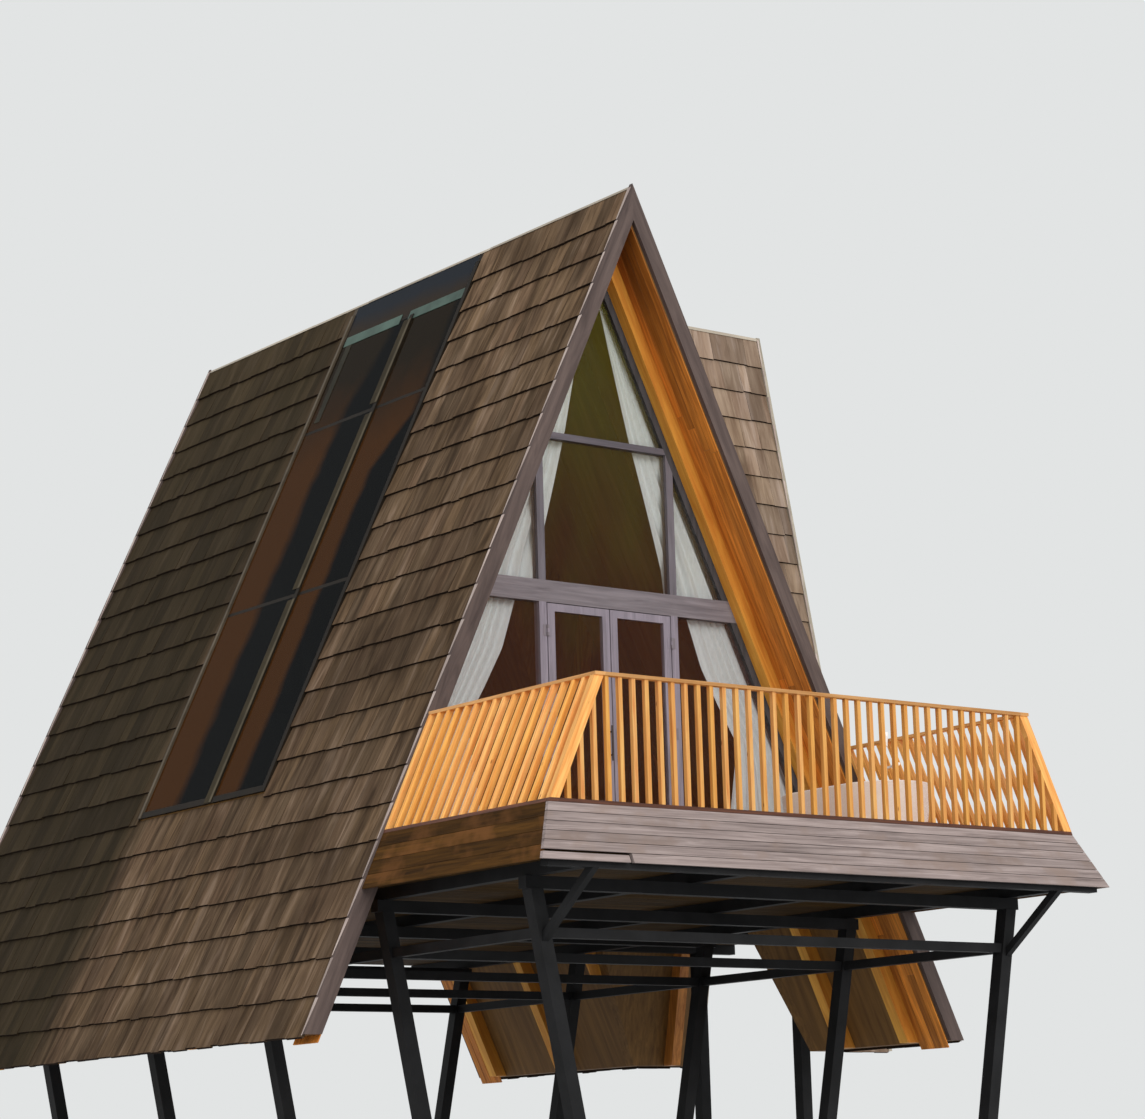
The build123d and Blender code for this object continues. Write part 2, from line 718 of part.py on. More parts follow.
add("skylight_glass", sheets - curb)

# Curtains gathered towards the slopes, hung just behind the frame
curtain_front = glazing_back + curtain_gap
curtain_back = curtain_front + curtain_thickness


def curtain(side, z_top, z_foot, widths):
    """A hanging that follows the slope outside and has its own width at top and foot."""
    top_edge = roof_x(z_top, curtain_edge_depth)
    foot_edge = roof_x(z_foot, curtain_edge_depth)
    points = [
        (side * (top_edge - widths[0]), z_top),
        (side * (foot_edge - widths[1]), z_foot),
        (side * foot_edge, z_foot),
        (side * top_edge, z_top),
    ]
    return prism_y(points, curtain_front, curtain_back)


def plumb_fall(side, z_top, z_foot, width):
    """The foot of a hanging, whose inner edge falls plumb from z_top."""
    inner = side * (roof_x(z_top, curtain_edge_depth) - width)
    points = [
        (inner, z_top),
        (inner, z_foot),
        (side * roof_x(z_foot, curtain_edge_depth), z_foot),
        (side * roof_x(z_top, curtain_edge_depth), z_top),
    ]
    return prism_y(points, curtain_front, curtain_back)


transom_middle = transom_bottom + transom_depth / 2
upper_curtains = []
lower_curtains = []
for side in (LEFT, RIGHT):
    upper_top = ridge_height - upper_curtain_drop
    upper_foot = transom_middle + curtain_hem_gap
    lower_top = transom_middle - curtain_hem_gap
    upper_curtains.append(curtain(side, upper_top, upper_foot, upper_curtain_widths))
    hanging = curtain(side, lower_top, lower_curtain_fall_height, lower_curtain_widths)
    hanging += plumb_fall(side, lower_curtain_fall_height, curtain_hem_gap, lower_curtain_widths[1])
    lower_curtains.append(hanging)
add("upper_curtains", *upper_curtains)
add("lower_curtains", *lower_curtains)

# Round-ended soaking tub that narrows towards its foot
def tub_shell(inset, depth):
    rim_plane = Plane.XY.offset(tub_height)
    outline = SlotOverall(2 * (tub_half_length - inset), 2 * (tub_half_width - inset), rotation=90)
    return extrude(rim_plane * outline, -depth, taper=tub_taper_angle)


tub = tub_shell(0, tub_height) - tub_shell(tub_wall, tub_height - tub_base_height)
tub = chamfer(tub.edges().group_by(Axis.Z)[-1], tub_rim_chamfer)
add("deck_tub", tub.moved(Location((roof_x(0, 0) - tub_edge_distance, tub_centre_y, 0))))

# Floor-standing filler beside the tub
riser = Cylinder(filler_base_radius, filler_base_thickness, align=(Align.CENTER, Align.CENTER, Align.MIN))
riser += Cylinder(filler_radius, filler_height, align=(Align.CENTER, Align.CENTER, Align.MIN))
spout = Cylinder(filler_spout_radius, filler_reach, rotation=(0, 90, 0),
                 align=(Align.CENTER, Align.CENTER, Align.MIN))
riser += spout.rotate(Axis.Z, filler_turn).moved(Location((0, 0, filler_spout_height)))
add("tub_filler", riser.moved(Location((roof_x(0, 0) - filler_edge_distance, filler_y, 0))))

# The finished model stands on the ground with its origin under the middle
boxes = [solid.bounding_box() for solids in parts.values() for solid in solids]
middle_x = (min(box.min.X for box in boxes) + max(box.max.X for box in boxes)) / 2
middle_y = (min(box.min.Y for box in boxes) + max(box.max.Y for box in boxes)) / 2
origin_shift = Location((-middle_x, -middle_y, ground_drop))
for name, solids in parts.items():
    placed = [solid.moved(origin_shift) for solid in solids]
    export_step(placed[0] if len(placed) == 1 else Compound(placed), f"parts/{name}.step")
print(len(parts), "pieces, shift", round(middle_x, 3), round(middle_y, 3))
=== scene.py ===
# %% [markdown]
# # An A-frame cabin on steel posts
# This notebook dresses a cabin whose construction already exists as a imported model. The model comes
# in as a fixed frame of named pieces: slopes, rafters, floors, glass, doors, rails and steel. Nothing
# here moves them. Each cell adds a finish, or the small things that a model of the construction
# leaves out, such as shingles, boards, flashings, cloth and bolts.

import math
import random
from collections import namedtuple

import bpy
import bmesh
from mathutils import Matrix, Vector


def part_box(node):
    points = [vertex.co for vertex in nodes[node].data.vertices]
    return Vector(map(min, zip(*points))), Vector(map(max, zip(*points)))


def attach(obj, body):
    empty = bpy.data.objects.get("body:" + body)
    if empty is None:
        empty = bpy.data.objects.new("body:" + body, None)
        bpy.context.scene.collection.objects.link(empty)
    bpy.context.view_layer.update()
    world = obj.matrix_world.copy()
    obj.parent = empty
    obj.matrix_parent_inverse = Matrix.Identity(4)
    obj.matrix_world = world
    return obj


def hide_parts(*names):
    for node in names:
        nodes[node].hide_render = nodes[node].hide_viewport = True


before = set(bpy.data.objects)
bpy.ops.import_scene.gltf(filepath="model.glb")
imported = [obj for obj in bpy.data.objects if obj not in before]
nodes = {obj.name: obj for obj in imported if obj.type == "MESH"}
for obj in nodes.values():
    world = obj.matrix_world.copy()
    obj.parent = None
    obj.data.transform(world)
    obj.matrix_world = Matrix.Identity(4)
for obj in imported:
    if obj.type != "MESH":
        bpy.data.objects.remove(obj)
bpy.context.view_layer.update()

# %% [markdown]
# ## Measure from the cabin itself
# A carpenter sets out from a few marks: the middle of the gable, its front face and the top of the
# deck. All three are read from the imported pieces, so the dressing follows if the model is rebuilt.
# The slopes are described once, each by its ridge point and three directions, and every shingle and
# board on them is then placed by plain distances: down the slope, along it and out of it.

# %% Setting-out marks and the four slopes
LEFT, RIGHT = -1, 1
ROOF_ANGLE = math.radians(25.1)
WING_ANGLE = math.radians(11.4)
RIDGE_HEIGHT = 6.12
WING_RIDGE_Y = 3.4

centre_x = (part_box("front_barge_left")[0].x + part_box("front_barge_right")[1].x) / 2
gable_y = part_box("front_barge_left")[0].y
deck_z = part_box("deck_floor")[1].z
roof_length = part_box("back_barge_left")[1].y - gable_y
wing_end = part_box("wing_barge_front")[1].x - centre_x
eave_drop = deck_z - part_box("roof_left")[0].z


def place(x, y, z):
    """A point given from the middle of the gable, its front face and the top of the deck."""
    return Vector((centre_x + x, gable_y + y, deck_z + z))


Slope = namedtuple("Slope", "ridge down along out angle")
roof_sin, roof_cos = math.sin(ROOF_ANGLE), math.cos(ROOF_ANGLE)
wing_sin, wing_cos = math.sin(WING_ANGLE), math.cos(WING_ANGLE)
ALONG_ROOF, ALONG_WING = Vector((0, 1, 0)), Vector((1, 0, 0))
roof_slopes = {
    side: Slope(place(0, 0, RIDGE_HEIGHT), Vector((side * roof_sin, 0, -roof_cos)), ALONG_ROOF,
                Vector((side * roof_cos, 0, roof_sin)), ROOF_ANGLE)
    for side in (LEFT, RIGHT)
}
wing_slopes = {
    side: Slope(place(0, WING_RIDGE_Y, RIDGE_HEIGHT), Vector((0, side * wing_sin, -wing_cos)), ALONG_WING,
                Vector((0, side * wing_cos, wing_sin)), WING_ANGLE)
    for side in (LEFT, RIGHT)
}


def on_slope(slope, down, along, out):
    """A point given by its distances down a slope, along it and square out of it."""
    return slope.ridge + slope.down * down + slope.along * along + slope.out * out


def flat_on_slope(slope, ring, *levels):
    """Eight corners of a flat board: a ring of places down and along a slope, at two levels."""
    return [on_slope(slope, down, along, level) for level in levels for down, along in ring]


def roof_x(z, depth=0.0):
    """Half width of the main roof at height z, at a depth square to the slope."""
    return (RIDGE_HEIGHT - z) * math.tan(ROOF_ANGLE) - depth / roof_cos


print("deck is", round(deck_z, 3), "m up, roof is", round(roof_length, 3), "m long")

# %% [markdown]
# ## Every mesh becomes a piece
# A mesh on its own isn't part of the cabin yet. It needs an object in the scene, a material and a
# body that carries it, so that what sits on a door would swing with it. Doing this by hand for each
# piece invites mistakes, so one helper does all of it. Two more see to what every sawn piece needs:
# faces that look outwards and softened edges.

# %% Helpers for a piece
def face_outwards(mesh):
    """Makes every face of a mesh look out of it, whichever way its corners were listed."""
    work = bmesh.new()
    work.from_mesh(mesh)
    bmesh.ops.recalc_face_normals(work, faces=work.faces)
    work.to_mesh(mesh)
    work.free()


def finish_piece(name, mesh, material, replaces=(), body="cabin"):
    """Puts a mesh in the scene as a piece that a body of the cabin carries."""
    piece = bpy.data.objects.new(name, mesh)
    bpy.context.scene.collection.objects.link(piece)
    mesh.materials.append(material)
    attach(piece, body)
    if replaces:
        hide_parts(*replaces)
    print(name, len(mesh.polygons), "faces")
    return piece


def soften(piece, width):
    """Takes the knife edge off the arrises, as a plane or years of weather do."""
    bevel = piece.modifiers.new("arris", "BEVEL")
    bevel.width = width
    bevel.segments = 1
    bevel.limit_method = "ANGLE"


# %% [markdown]
# ## One helper for everything that is sawn or split
# Shingles, deck boards and fascia boards differ only in size and place. An array of one board would
# repeat the same grain a hundred times, and separate objects would be slow, so one collector takes
# the eight corners of each board and joins many boards into one mesh. Each board also carries two
# hidden notes for its finish: a tone, so that neighbours differ, and its own grain coordinates, so
# that the wood pattern runs along the board whichever way it leans.

# %% A collector of boards
BOX_FACES = ((0, 1, 2, 3), (4, 7, 6, 5), (0, 4, 5, 1), (1, 5, 6, 2), (2, 6, 7, 3), (3, 7, 4, 0))
GRAIN_FIELD = 40.0


class Boards:
    """Boards gathered into one mesh, each with a tone from 0 to 1 and its own grain."""

    def __init__(self, seed):
        self.chance = random.Random(seed)
        self.points, self.faces, self.tones, self.grain = [], [], [], []

    def add(self, corners, tone=None):
        """Corners run round one face and then round the opposite one; the first edge is the length."""
        start = len(self.points)
        length = (corners[1] - corners[0]).length
        width = (corners[3] - corners[0]).length
        depth = (corners[4] - corners[0]).length
        shift = Vector([self.chance.uniform(0, GRAIN_FIELD) for _ in range(3)])
        for level in (0, 1):
            for one, two in ((0, 0), (1, 0), (1, 1), (0, 1)):
                self.grain.append(shift + Vector((one * length, two * width, level * depth)))
        self.points.extend(corners)
        self.faces.extend([tuple(start + i for i in face) for face in BOX_FACES])
        value = self.chance.random() if tone is None else tone
        self.tones.extend([value] * len(corners))

    def block(self, low, high, run="x"):
        """A level, square-cut board between two opposite corners, with its length along x or y."""
        (x0, y0, z0), (x1, y1, z1) = low, high
        ring = [(x0, y0), (x1, y0), (x1, y1), (x0, y1)]
        if run == "y":
            ring = [(x0, y0), (x0, y1), (x1, y1), (x1, y0)]
        self.add([Vector((x, y, z)) for z in (z0, z1) for x, y in ring])

    def make(self, name, material, replaces=(), bevel=0.0):
        """Turns what has been gathered into a piece of the cabin."""
        mesh = bpy.data.meshes.new(name)
        mesh.from_pydata([tuple(p) for p in self.points], [], self.faces)
        tone = mesh.attributes.new("tone", "FLOAT", "POINT")
        tone.data.foreach_set("value", self.tones)
        grain = mesh.attributes.new("grain", "FLOAT_VECTOR", "POINT")
        grain.data.foreach_set("vector", [c for g in self.grain for c in g])
        face_outwards(mesh)
        piece = finish_piece(name, mesh, material, replaces)
        if bevel > 0:
            soften(piece, bevel)


print("a board has", len(BOX_FACES), "faces")

# %% [markdown]
# ## How the finishes are written
# Colours are read off a screen, in steps from 0 to 255. Light adds up in other steps, called linear,
# and a shader wants those. The colour picker turns one into the other by itself. In code a short
# helper does it, so that every colour below can be written as it is seen.

# %% Colours for material graphs
def srgb(red, green, blue):
    """A colour as read off a screen, 0 to 255, turned to the linear values that light uses."""
    def linear(value):
        share = value / 255
        return share / 12.92 if share <= 0.04045 else ((share + 0.055) / 1.055) ** 2.4
    return (linear(red), linear(green), linear(blue), 1.0)


def grey(level):
    """A linear grey, mostly used as a share from 0 to 1."""
    return (level, level, level, 1.0)


def scaled(colour, factor):
    """A colour made darker or lighter by a factor, but no lighter than white."""
    return tuple(min(1.0, c * factor) for c in colour[:3]) + (1.0,)


BLACK, WHITE = grey(0.0), grey(1.0)
print("a mid grey of 128 on a screen is", round(srgb(128, 128, 128)[0], 3), "in light")

# %% [markdown]
# ## Nodes in one call
# A material here is a small graph of nodes. It could be drawn by hand in the shader editor, but a
# graph in code can be repeated with other colours. Writing each node out takes many lines, so one
# helper makes a node, sets its options and joins its inputs in a single call. Where an input is
# another node's output it is linked, and otherwise it is a plain value on the socket.

# %% Nodes for material graphs
def new_material(name):
    """A fresh material with its node tree and its main shader."""
    material = bpy.data.materials.new(name)
    material.use_nodes = True
    return material, material.node_tree, main_shader(material)


def main_shader(material):
    return next(n for n in material.node_tree.nodes if n.type == "BSDF_PRINCIPLED")


def node(tree, kind, inputs=None, **options):
    """A node with its options set and each input linked or given a value."""
    made = tree.nodes.new(kind)
    for key, value in options.items():
        setattr(made, key, value)
    for key, value in (inputs or {}).items():
        if isinstance(value, bpy.types.NodeSocket):
            tree.links.new(value, made.inputs[key])
        else:
            made.inputs[key].default_value = value
    return made


def cabin_spot(tree):
    """The place being coloured, in metres in the cabin's own space."""
    return node(tree, "ShaderNodeTexCoord").outputs["Object"]


def split_axes(tree, vector):
    return node(tree, "ShaderNodeSeparateXYZ", {0: vector}).outputs


def stretched(tree, vector, scale, turn=(0, 0, 0)):
    """Coordinates pulled long one way, after a turn in degrees."""
    values = {"Vector": vector, "Rotation": tuple(math.radians(a) for a in turn), "Scale": scale}
    return node(tree, "ShaderNodeMapping", values).outputs["Vector"]


def maths(tree, operation, first, second=0.0, third=0.0):
    return node(tree, "ShaderNodeMath", {0: first, 1: second, 2: third}, operation=operation).outputs[0]


def fade(tree, value, first, last, low=0.0, high=1.0):
    """Goes from first to last while a value goes from low to high, and no further."""
    values = {"Value": value, "From Min": low, "From Max": high, "To Min": first, "To Max": last}
    return node(tree, "ShaderNodeMapRange", values).outputs[0]


print("helpers: new_material, node, cabin_spot, split_axes, stretched, maths, fade")

# %% [markdown]
# ## Patterns and colours
# Procedural patterns are used throughout, because they have no edge and no resolution, and need no
# picture file. Noise gives grain, streaks and patches. A ramp turns a pattern into colours, a mix
# lays one colour over another by a share, and a bump lets light pick the same pattern up.

# %% Helpers for patterns and colours
def noise(tree, vector, scale, detail=4.0, roughness=0.6, distortion=0.0):
    values = {"Vector": vector, "Scale": scale, "Detail": detail, "Roughness": roughness,
              "Distortion": distortion}
    return node(tree, "ShaderNodeTexNoise", values).outputs["Fac"]


def chance_of(tree, number):
    """A chance value from 0 to 1 that is the same wherever the number is."""
    return node(tree, "ShaderNodeTexWhiteNoise", {"W": number}, noise_dimensions="1D").outputs["Value"]


def ramp(tree, factor, *stops):
    """A colour ramp: each stop is a place from 0 to 1 and a colour."""
    made = node(tree, "ShaderNodeValToRGB", {"Fac": factor})
    band = made.color_ramp
    while len(band.elements) < len(stops):
        band.elements.new(0.5)
    for element, (spot, colour) in zip(band.elements, stops):
        element.position = spot
        element.color = colour
    return made.outputs["Color"]


def mixed(tree, factor, first, second, blend="MIX"):
    """Two colours mixed by a factor; the node has sockets of several kinds under the same names."""
    made = node(tree, "ShaderNodeMix", {"Factor": factor}, data_type="RGBA", blend_type=blend)
    for key, value in (("A", first), ("B", second)):
        socket = next(s for s in made.inputs if s.name == key and s.type == "RGBA")
        if isinstance(value, bpy.types.NodeSocket):
            tree.links.new(value, socket)
        else:
            socket.default_value = value
    return next(s for s in made.outputs if s.type == "RGBA")


def brightened(tree, colour, factor):
    return node(tree, "ShaderNodeHueSaturation", {"Color": colour, "Value": factor}).outputs["Color"]


def bump(tree, shader, height, strength, distance):
    made = node(tree, "ShaderNodeBump", {"Strength": strength, "Distance": distance, "Height": height})
    tree.links.new(made.outputs["Normal"], shader.inputs["Normal"])


print("helpers: noise, chance_of, ramp, mixed, brightened, bump")

# %% [markdown]
# ## Timber
# Nearly everything that shows is wood, in many states: split shingles, grey weathered boards, bright
# oiled rails, an orange lining. A photograph of timber would repeat and wouldn't follow the boards,
# so they share one graph of noises. Long stretched noise gives the grain, finer noise gives the
# pores, a slow noise gives patches of weather, and each board's own tone shifts the whole. Only the
# colours and strengths change from one timber to the next.

# %% The timber recipe
PORES_FINER = 4
KNOT_WAY, KNOT_SHADE = (0.5, 1.6, 1.6), 0.35
PATCH_STRENGTH = 0.85


def board_notes(tree):
    """The grain coordinates and the tone that a collected board carries."""
    grain = node(tree, "ShaderNodeAttribute", attribute_name="grain").outputs["Vector"]
    return grain, node(tree, "ShaderNodeAttribute", attribute_name="tone").outputs["Fac"]


def timber(name, dark, light, patch=None, patch_share=0.5, tone_depth=0.35, grain=(1.6, 26.0, 26.0),
           space="board", turn=(0, 0, 0), roughness=0.72, relief=0.6, knots=0.0, gloss=0.3):
    """space is board for boards with their own grain, or cabin for pieces of the frame, where the
    grain runs along x after the turn."""
    material, tree, shader = new_material(name)
    if space == "board":
        vector, tone = board_notes(tree)
    else:
        vector = stretched(tree, cabin_spot(tree), (1, 1, 1), turn)
        tone = noise(tree, vector, 0.9, 1.0)
    long_grain = noise(tree, stretched(tree, vector, grain), 1.0, 5.0, 0.62, 0.6)
    pores = noise(tree, stretched(tree, vector, tuple(PORES_FINER * g for g in grain)), 1.0, 3.0, 0.7)
    colour = ramp(tree, long_grain, (0.28, dark), (0.72, light))
    if patch:
        weather = noise(tree, vector, 2.2, 3.0, 0.6)
        spread = ramp(tree, weather, (0.62 - patch_share * 0.3, BLACK), (0.66, WHITE))
        colour = mixed(tree, maths(tree, "MULTIPLY", spread, PATCH_STRENGTH), colour, patch)
    if knots > 0:
        values = {"Vector": stretched(tree, vector, KNOT_WAY), "Scale": knots}
        cells = node(tree, "ShaderNodeTexVoronoi", values).outputs["Distance"]
        eye = ramp(tree, cells, (0.04, WHITE), (0.09, BLACK))
        colour = mixed(tree, eye, colour, scaled(dark, KNOT_SHADE))
    shade = fade(tree, tone, 1 - tone_depth, 1 + tone_depth)
    strength = maths(tree, "MULTIPLY", shade, fade(tree, pores, 0.86, 1.12))
    tree.links.new(brightened(tree, colour, strength), shader.inputs["Base Color"])
    rough = fade(tree, pores, roughness - 0.08, min(1.0, roughness + 0.1))
    tree.links.new(rough, shader.inputs["Roughness"])
    bump(tree, shader, maths(tree, "MULTIPLY_ADD", pores, 0.5, long_grain), relief, 0.004)
    shader.inputs["Specular IOR Level"].default_value = gloss
    return material


def dress(material, *names):
    """Gives pieces of the frame a finish in place of the plain one they came with."""
    for name in names:
        for slot in nodes[name].material_slots:
            slot.material = material
    print(material.name, "on", ", ".join(names))


# %% [markdown]
# ## The shingles
# The roof is clad in wide courses of weathered shingles. Seen close, each course is a row of thin
# wedges: the thick butt stands about two centimetres proud and throws the dark line below it, and
# the thin head slips under the course above. Painted lines or bump would look right from one side
# only, so the wedges are modelled, and the shadow is right from every side. The butt ends, which
# face down, are also painted a dark brown as shade. Their finish adds what is larger than a shingle:
# long streaks of rain, a paler colour towards the ridge and painted shade over the roof behind the
# skylight.

# %% The shingle finish
# Painted shade: a dark brown for the butt ends that face down, and a darker brown that is laid over the roof
# behind the skylight.
BACK_SHADE_BROWN, BUTT_SHADE_BROWN = srgb(40, 34, 20), srgb(34, 23, 15)
BACK_SHADE_FADE, BACK_SHADE_SHARE = 0.5, 0.85
# Shingles grow paler between these heights, towards the ridge.
PALER_FROM, PALER_TO = 3.6, 6.0
WARMTHS = ((0.0, (1.0, 0.95, 0.86, 1.0)), (0.5, WHITE), (1.0, (1.0, 0.93, 0.92, 1.0)))


def shingle_finish(name, dark, light, streak_dark, streak_pale, long_way, ridge_paler, painted_shade_from=None):
    """Split timber with butt ends painted a dark brown as shade, crossed by streaks that run down the
    roof over many courses. It grows paler towards the ridge, by a factor, and from a place along the
    roof, if one is given, it is painted darker towards the back, as shade."""
    material, tree, shader = new_material(name)
    vector, tone = board_notes(tree)
    cover = cabin_spot(tree)
    at = split_axes(tree, cover)
    split = noise(tree, stretched(tree, vector, (1.6, 17.0, 17.0)), 1.0, 3.0, 0.55, 0.6)
    pores = noise(tree, stretched(tree, vector, (10.0, 110.0, 110.0)), 1.0, 3.0, 0.7)
    streak = noise(tree, stretched(tree, cover, long_way), 1.0, 3.0, 0.6, 0.5)
    cloud = noise(tree, cover, 0.9, 3.0, 0.6)
    hue = ramp(tree, chance_of(tree, tone), *WARMTHS)
    colour = mixed(tree, 1.0, ramp(tree, split, (0.2, dark), (0.8, light)), hue, "MULTIPLY")
    for pattern, stops, over in ((streak, ((0.32, grey(0.75)), (0.48, BLACK)), streak_dark),
                                 (streak, ((0.55, BLACK), (0.72, grey(0.6))), streak_pale),
                                 (cloud, ((0.35, grey(0.35)), (0.55, BLACK)), streak_dark)):
        colour = mixed(tree, ramp(tree, pattern, *stops), colour, over)
    strength = maths(tree, "MULTIPLY", fade(tree, tone, 0.72, 1.28), fade(tree, pores, 0.86, 1.14))
    pale = fade(tree, at["Z"], 1.0, ridge_paler, deck_z + PALER_FROM, deck_z + PALER_TO)
    # Painted shade: the roof behind the skylight is darkened and browned.
    if painted_shade_from is not None:
        back_shade = fade(tree, at["Y"], 0.0, BACK_SHADE_SHARE, painted_shade_from, painted_shade_from + BACK_SHADE_FADE)
        colour = mixed(tree, back_shade, colour, BACK_SHADE_BROWN)
    colour = brightened(tree, colour, maths(tree, "MULTIPLY", strength, pale))
    # Painted shade: faces that look down, the butt ends, are mixed to a dark brown.
    facing = split_axes(tree, node(tree, "ShaderNodeNewGeometry").outputs["True Normal"])["Z"]
    turned_down = fade(tree, facing, 1.0, 0.0, -0.1, 0.1)
    tree.links.new(mixed(tree, turned_down, colour, BUTT_SHADE_BROWN), shader.inputs["Base Color"])
    bump(tree, shader, maths(tree, "MULTIPLY_ADD", pores, 0.4, split), 0.6, 0.004)
    shader.inputs["Roughness"].default_value = 0.88
    shader.inputs["Specular IOR Level"].default_value = 0.1
    return material


# From here back, the roof behind the skylight is painted darker, as shade.
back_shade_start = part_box("skylight_frame")[1].y - 0.3
main_shingle = shingle_finish("shingle_brown", srgb(68, 52, 37), srgb(121, 100, 78), srgb(53, 39, 26),
                              srgb(150, 127, 106), (1.1, 7.5, 1.1), 1.38, back_shade_start)
# The wing's shingles are given paler colours than the main roof's.
wing_shingle = shingle_finish("shingle_wing_pale", srgb(115, 96, 80), srgb(160, 141, 122), srgb(101, 80, 64),
                              srgb(178, 160, 147), (7.5, 1.1, 1.1), 1.1)
print("shingle finishes:", main_shingle.name, "and", wing_shingle.name)

# %% [markdown]
# ## How a course is laid
# A roofer snaps a level line for each course and sets shingles of chance widths along it. The code
# does the same. The courses are level with each other on all four slopes, so a course is set by its
# drop in height. Chance moves each butt a few millimetres, and it is seeded, so the roof is the same
# each time.

# %% Courses and the shape of a shingle
FIRST_COURSE, COURSE_DROP, COURSE_COUNT = 0.346, 0.3235, 24
SHINGLE_WIDTHS, SHINGLE_GAP = (0.09, 0.27), 0.002
BUTT_LIFT, HEAD_LIFT, UNDERSIDE = 0.007, -0.020, -0.022
BUTT_STAGGER, LIFT_STAGGER = 0.008, (-0.004, 0.003)
HEAD_LAP = 0.05
RIDGE_START, RIDGE_LIFT = 0.01, -0.002


def course_edge(slope, course):
    """How far down the slope the butts of a course lie; course 0 is the ridge."""
    if course == 0:
        return 0.0
    return (FIRST_COURSE + (course - 1) * COURSE_DROP) / math.cos(slope.angle)


def cut_course(chance, start, stop):
    """The joints along a course, at chance widths, with the last shingle taking what is left."""
    cuts = [start]
    while cuts[-1] < stop - SHINGLE_WIDTHS[1]:
        cuts.append(cuts[-1] + chance.uniform(*SHINGLE_WIDTHS))
    return cuts + [stop]


def shingle_corners(slope, head, butt, heads, butts, head_lift, butt_lift):
    """A wedge: four corners on the underside, then four on the face. The underside starts lower
    down where the head is so near the ridge that it would pass through the other slope."""
    gap = SHINGLE_GAP / 2
    under_head = max(head, -UNDERSIDE / math.tan(slope.angle))
    corners = []
    for first, level_head, level_butt in ((under_head, UNDERSIDE, UNDERSIDE), (head, head_lift, butt_lift)):
        corners += [on_slope(slope, first, heads[0] + gap, level_head),
                    on_slope(slope, butt, butts[0] + gap, level_butt),
                    on_slope(slope, butt, butts[1] - gap, level_butt),
                    on_slope(slope, first, heads[1] - gap, level_head)]
    return corners


print("courses on a slope:", COURSE_COUNT, "each", COURSE_DROP, "m lower than the last")

# %% [markdown]
# ## How a slope is filled
# What is covered differs from slope to slope, so the slope tells it by a function, and the filling is
# the same for all four. Each shingle is fitted between two edges: its butt along one course line and
# its head along the line above. Beside a valley the two lines end at different places, and the
# shingle there comes out cut at a slant, as a roofer would cut it.

# %% Lay a slope of shingles
def as_many(wanted, spare):
    """The wanted stretches, or the spare ones where a corner of an opening splits the course."""
    return wanted if len(wanted) == len(spare) else spare


def lay_shingles(name, slope, stretches, finish, seed):
    """stretches(down) gives the from-to pairs along the slope that are covered at that distance down."""
    boards = Boards(seed)
    chance = boards.chance
    for course in range(COURSE_COUNT):
        upper, butt = course_edge(slope, course), course_edge(slope, course + 1)
        head = max(upper - HEAD_LAP, RIDGE_START)
        head_lift = RIDGE_LIFT if course == 0 else HEAD_LIFT
        at_middle = stretches((upper + butt) / 2)
        heads = as_many(stretches(max(upper, RIDGE_START)), at_middle)
        butts = as_many(stretches(butt), at_middle)
        for (head_from, head_to), (butt_from, butt_to) in zip(heads, butts):
            if butt_to - butt_from < SHINGLE_WIDTHS[0] / 2:
                continue
            cuts = cut_course(chance, butt_from, butt_to)
            for i, (start, stop) in enumerate(zip(cuts[:-1], cuts[1:])):
                head_start = head_from if i == 0 else min(max(start, head_from), head_to)
                head_stop = head_to if i == len(cuts) - 2 else min(max(stop, head_from), head_to)
                low = butt + chance.uniform(-BUTT_STAGGER, BUTT_STAGGER)
                lift = BUTT_LIFT + chance.uniform(*LIFT_STAGGER)
                boards.add(shingle_corners(slope, head, low, (head_start, head_stop), (start, stop),
                                           head_lift, lift))
    boards.make(name, finish)
    print("  shingles:", len(boards.faces) // len(BOX_FACES))


# %% [markdown]
# ## Where each slope is covered
# The left slope is interrupted by the skylight, the right one by the wing. The shingles could run
# on under both and be cut by a boolean, but that leaves ragged meshes. Instead each slope has a
# function that says which stretches are covered at a distance down. Where the wing meets the roof
# both roofs lose height at the same rate, so the valley is a straight line on each of them, and its
# place follows from the two angles alone.

# %% Lay the four slopes
BARGE_THICKNESS = 0.045
SKYLIGHT_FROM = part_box("skylight_frame")[0].y - gable_y
SKYLIGHT_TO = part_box("skylight_frame")[1].y - gable_y
SKYLIGHT_FOOT = (RIDGE_HEIGHT - (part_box("skylight_frame")[0].z - deck_z)) / roof_cos


def left_stretches(down):
    start, stop = BARGE_THICKNESS, roof_length - BARGE_THICKNESS
    if down < SKYLIGHT_FOOT:
        return [(start, SKYLIGHT_FROM), (SKYLIGHT_TO, stop)]
    return [(start, stop)]


def right_stretches(down):
    half = down * roof_cos * math.tan(WING_ANGLE)
    return [(BARGE_THICKNESS, WING_RIDGE_Y - half), (WING_RIDGE_Y + half, roof_length - BARGE_THICKNESS)]


def wing_stretches(down):
    return [(down * wing_cos * math.tan(ROOF_ANGLE), wing_end - BARGE_THICKNESS)]


lay_shingles("shingles_left", roof_slopes[LEFT], left_stretches, main_shingle, 11)
lay_shingles("shingles_right", roof_slopes[RIGHT], right_stretches, main_shingle, 12)
lay_shingles("shingles_wing_front", wing_slopes[LEFT], wing_stretches, wing_shingle, 13)
lay_shingles("shingles_wing_back", wing_slopes[RIGHT], wing_stretches, wing_shingle, 14)

# %% [markdown]
# ## Ridge caps
# A pale folded cap runs along both ridges, in lapped lengths. Bent sheet with rounded folds would
# cost many faces for a line that is a few centimetres wide. Thin flat boards from the same collector
# are enough: one down each side and one across the top.

# %% Fold the ridge caps
cap_metal = timber("ridge_cap_beige", srgb(160, 148, 132), srgb(205, 193, 174), tone_depth=0.12,
                   grain=(0.8, 5.0, 5.0), roughness=0.6, relief=0.15)
CAP_LENGTH, CAP_LAP, CAP_SHEET = 1.25, 0.03, 0.004
CAP_LIFT, LAPPED_LIFT = 0.006, 0.002
MAIN_REACH, WING_REACH = 0.026, 0.034


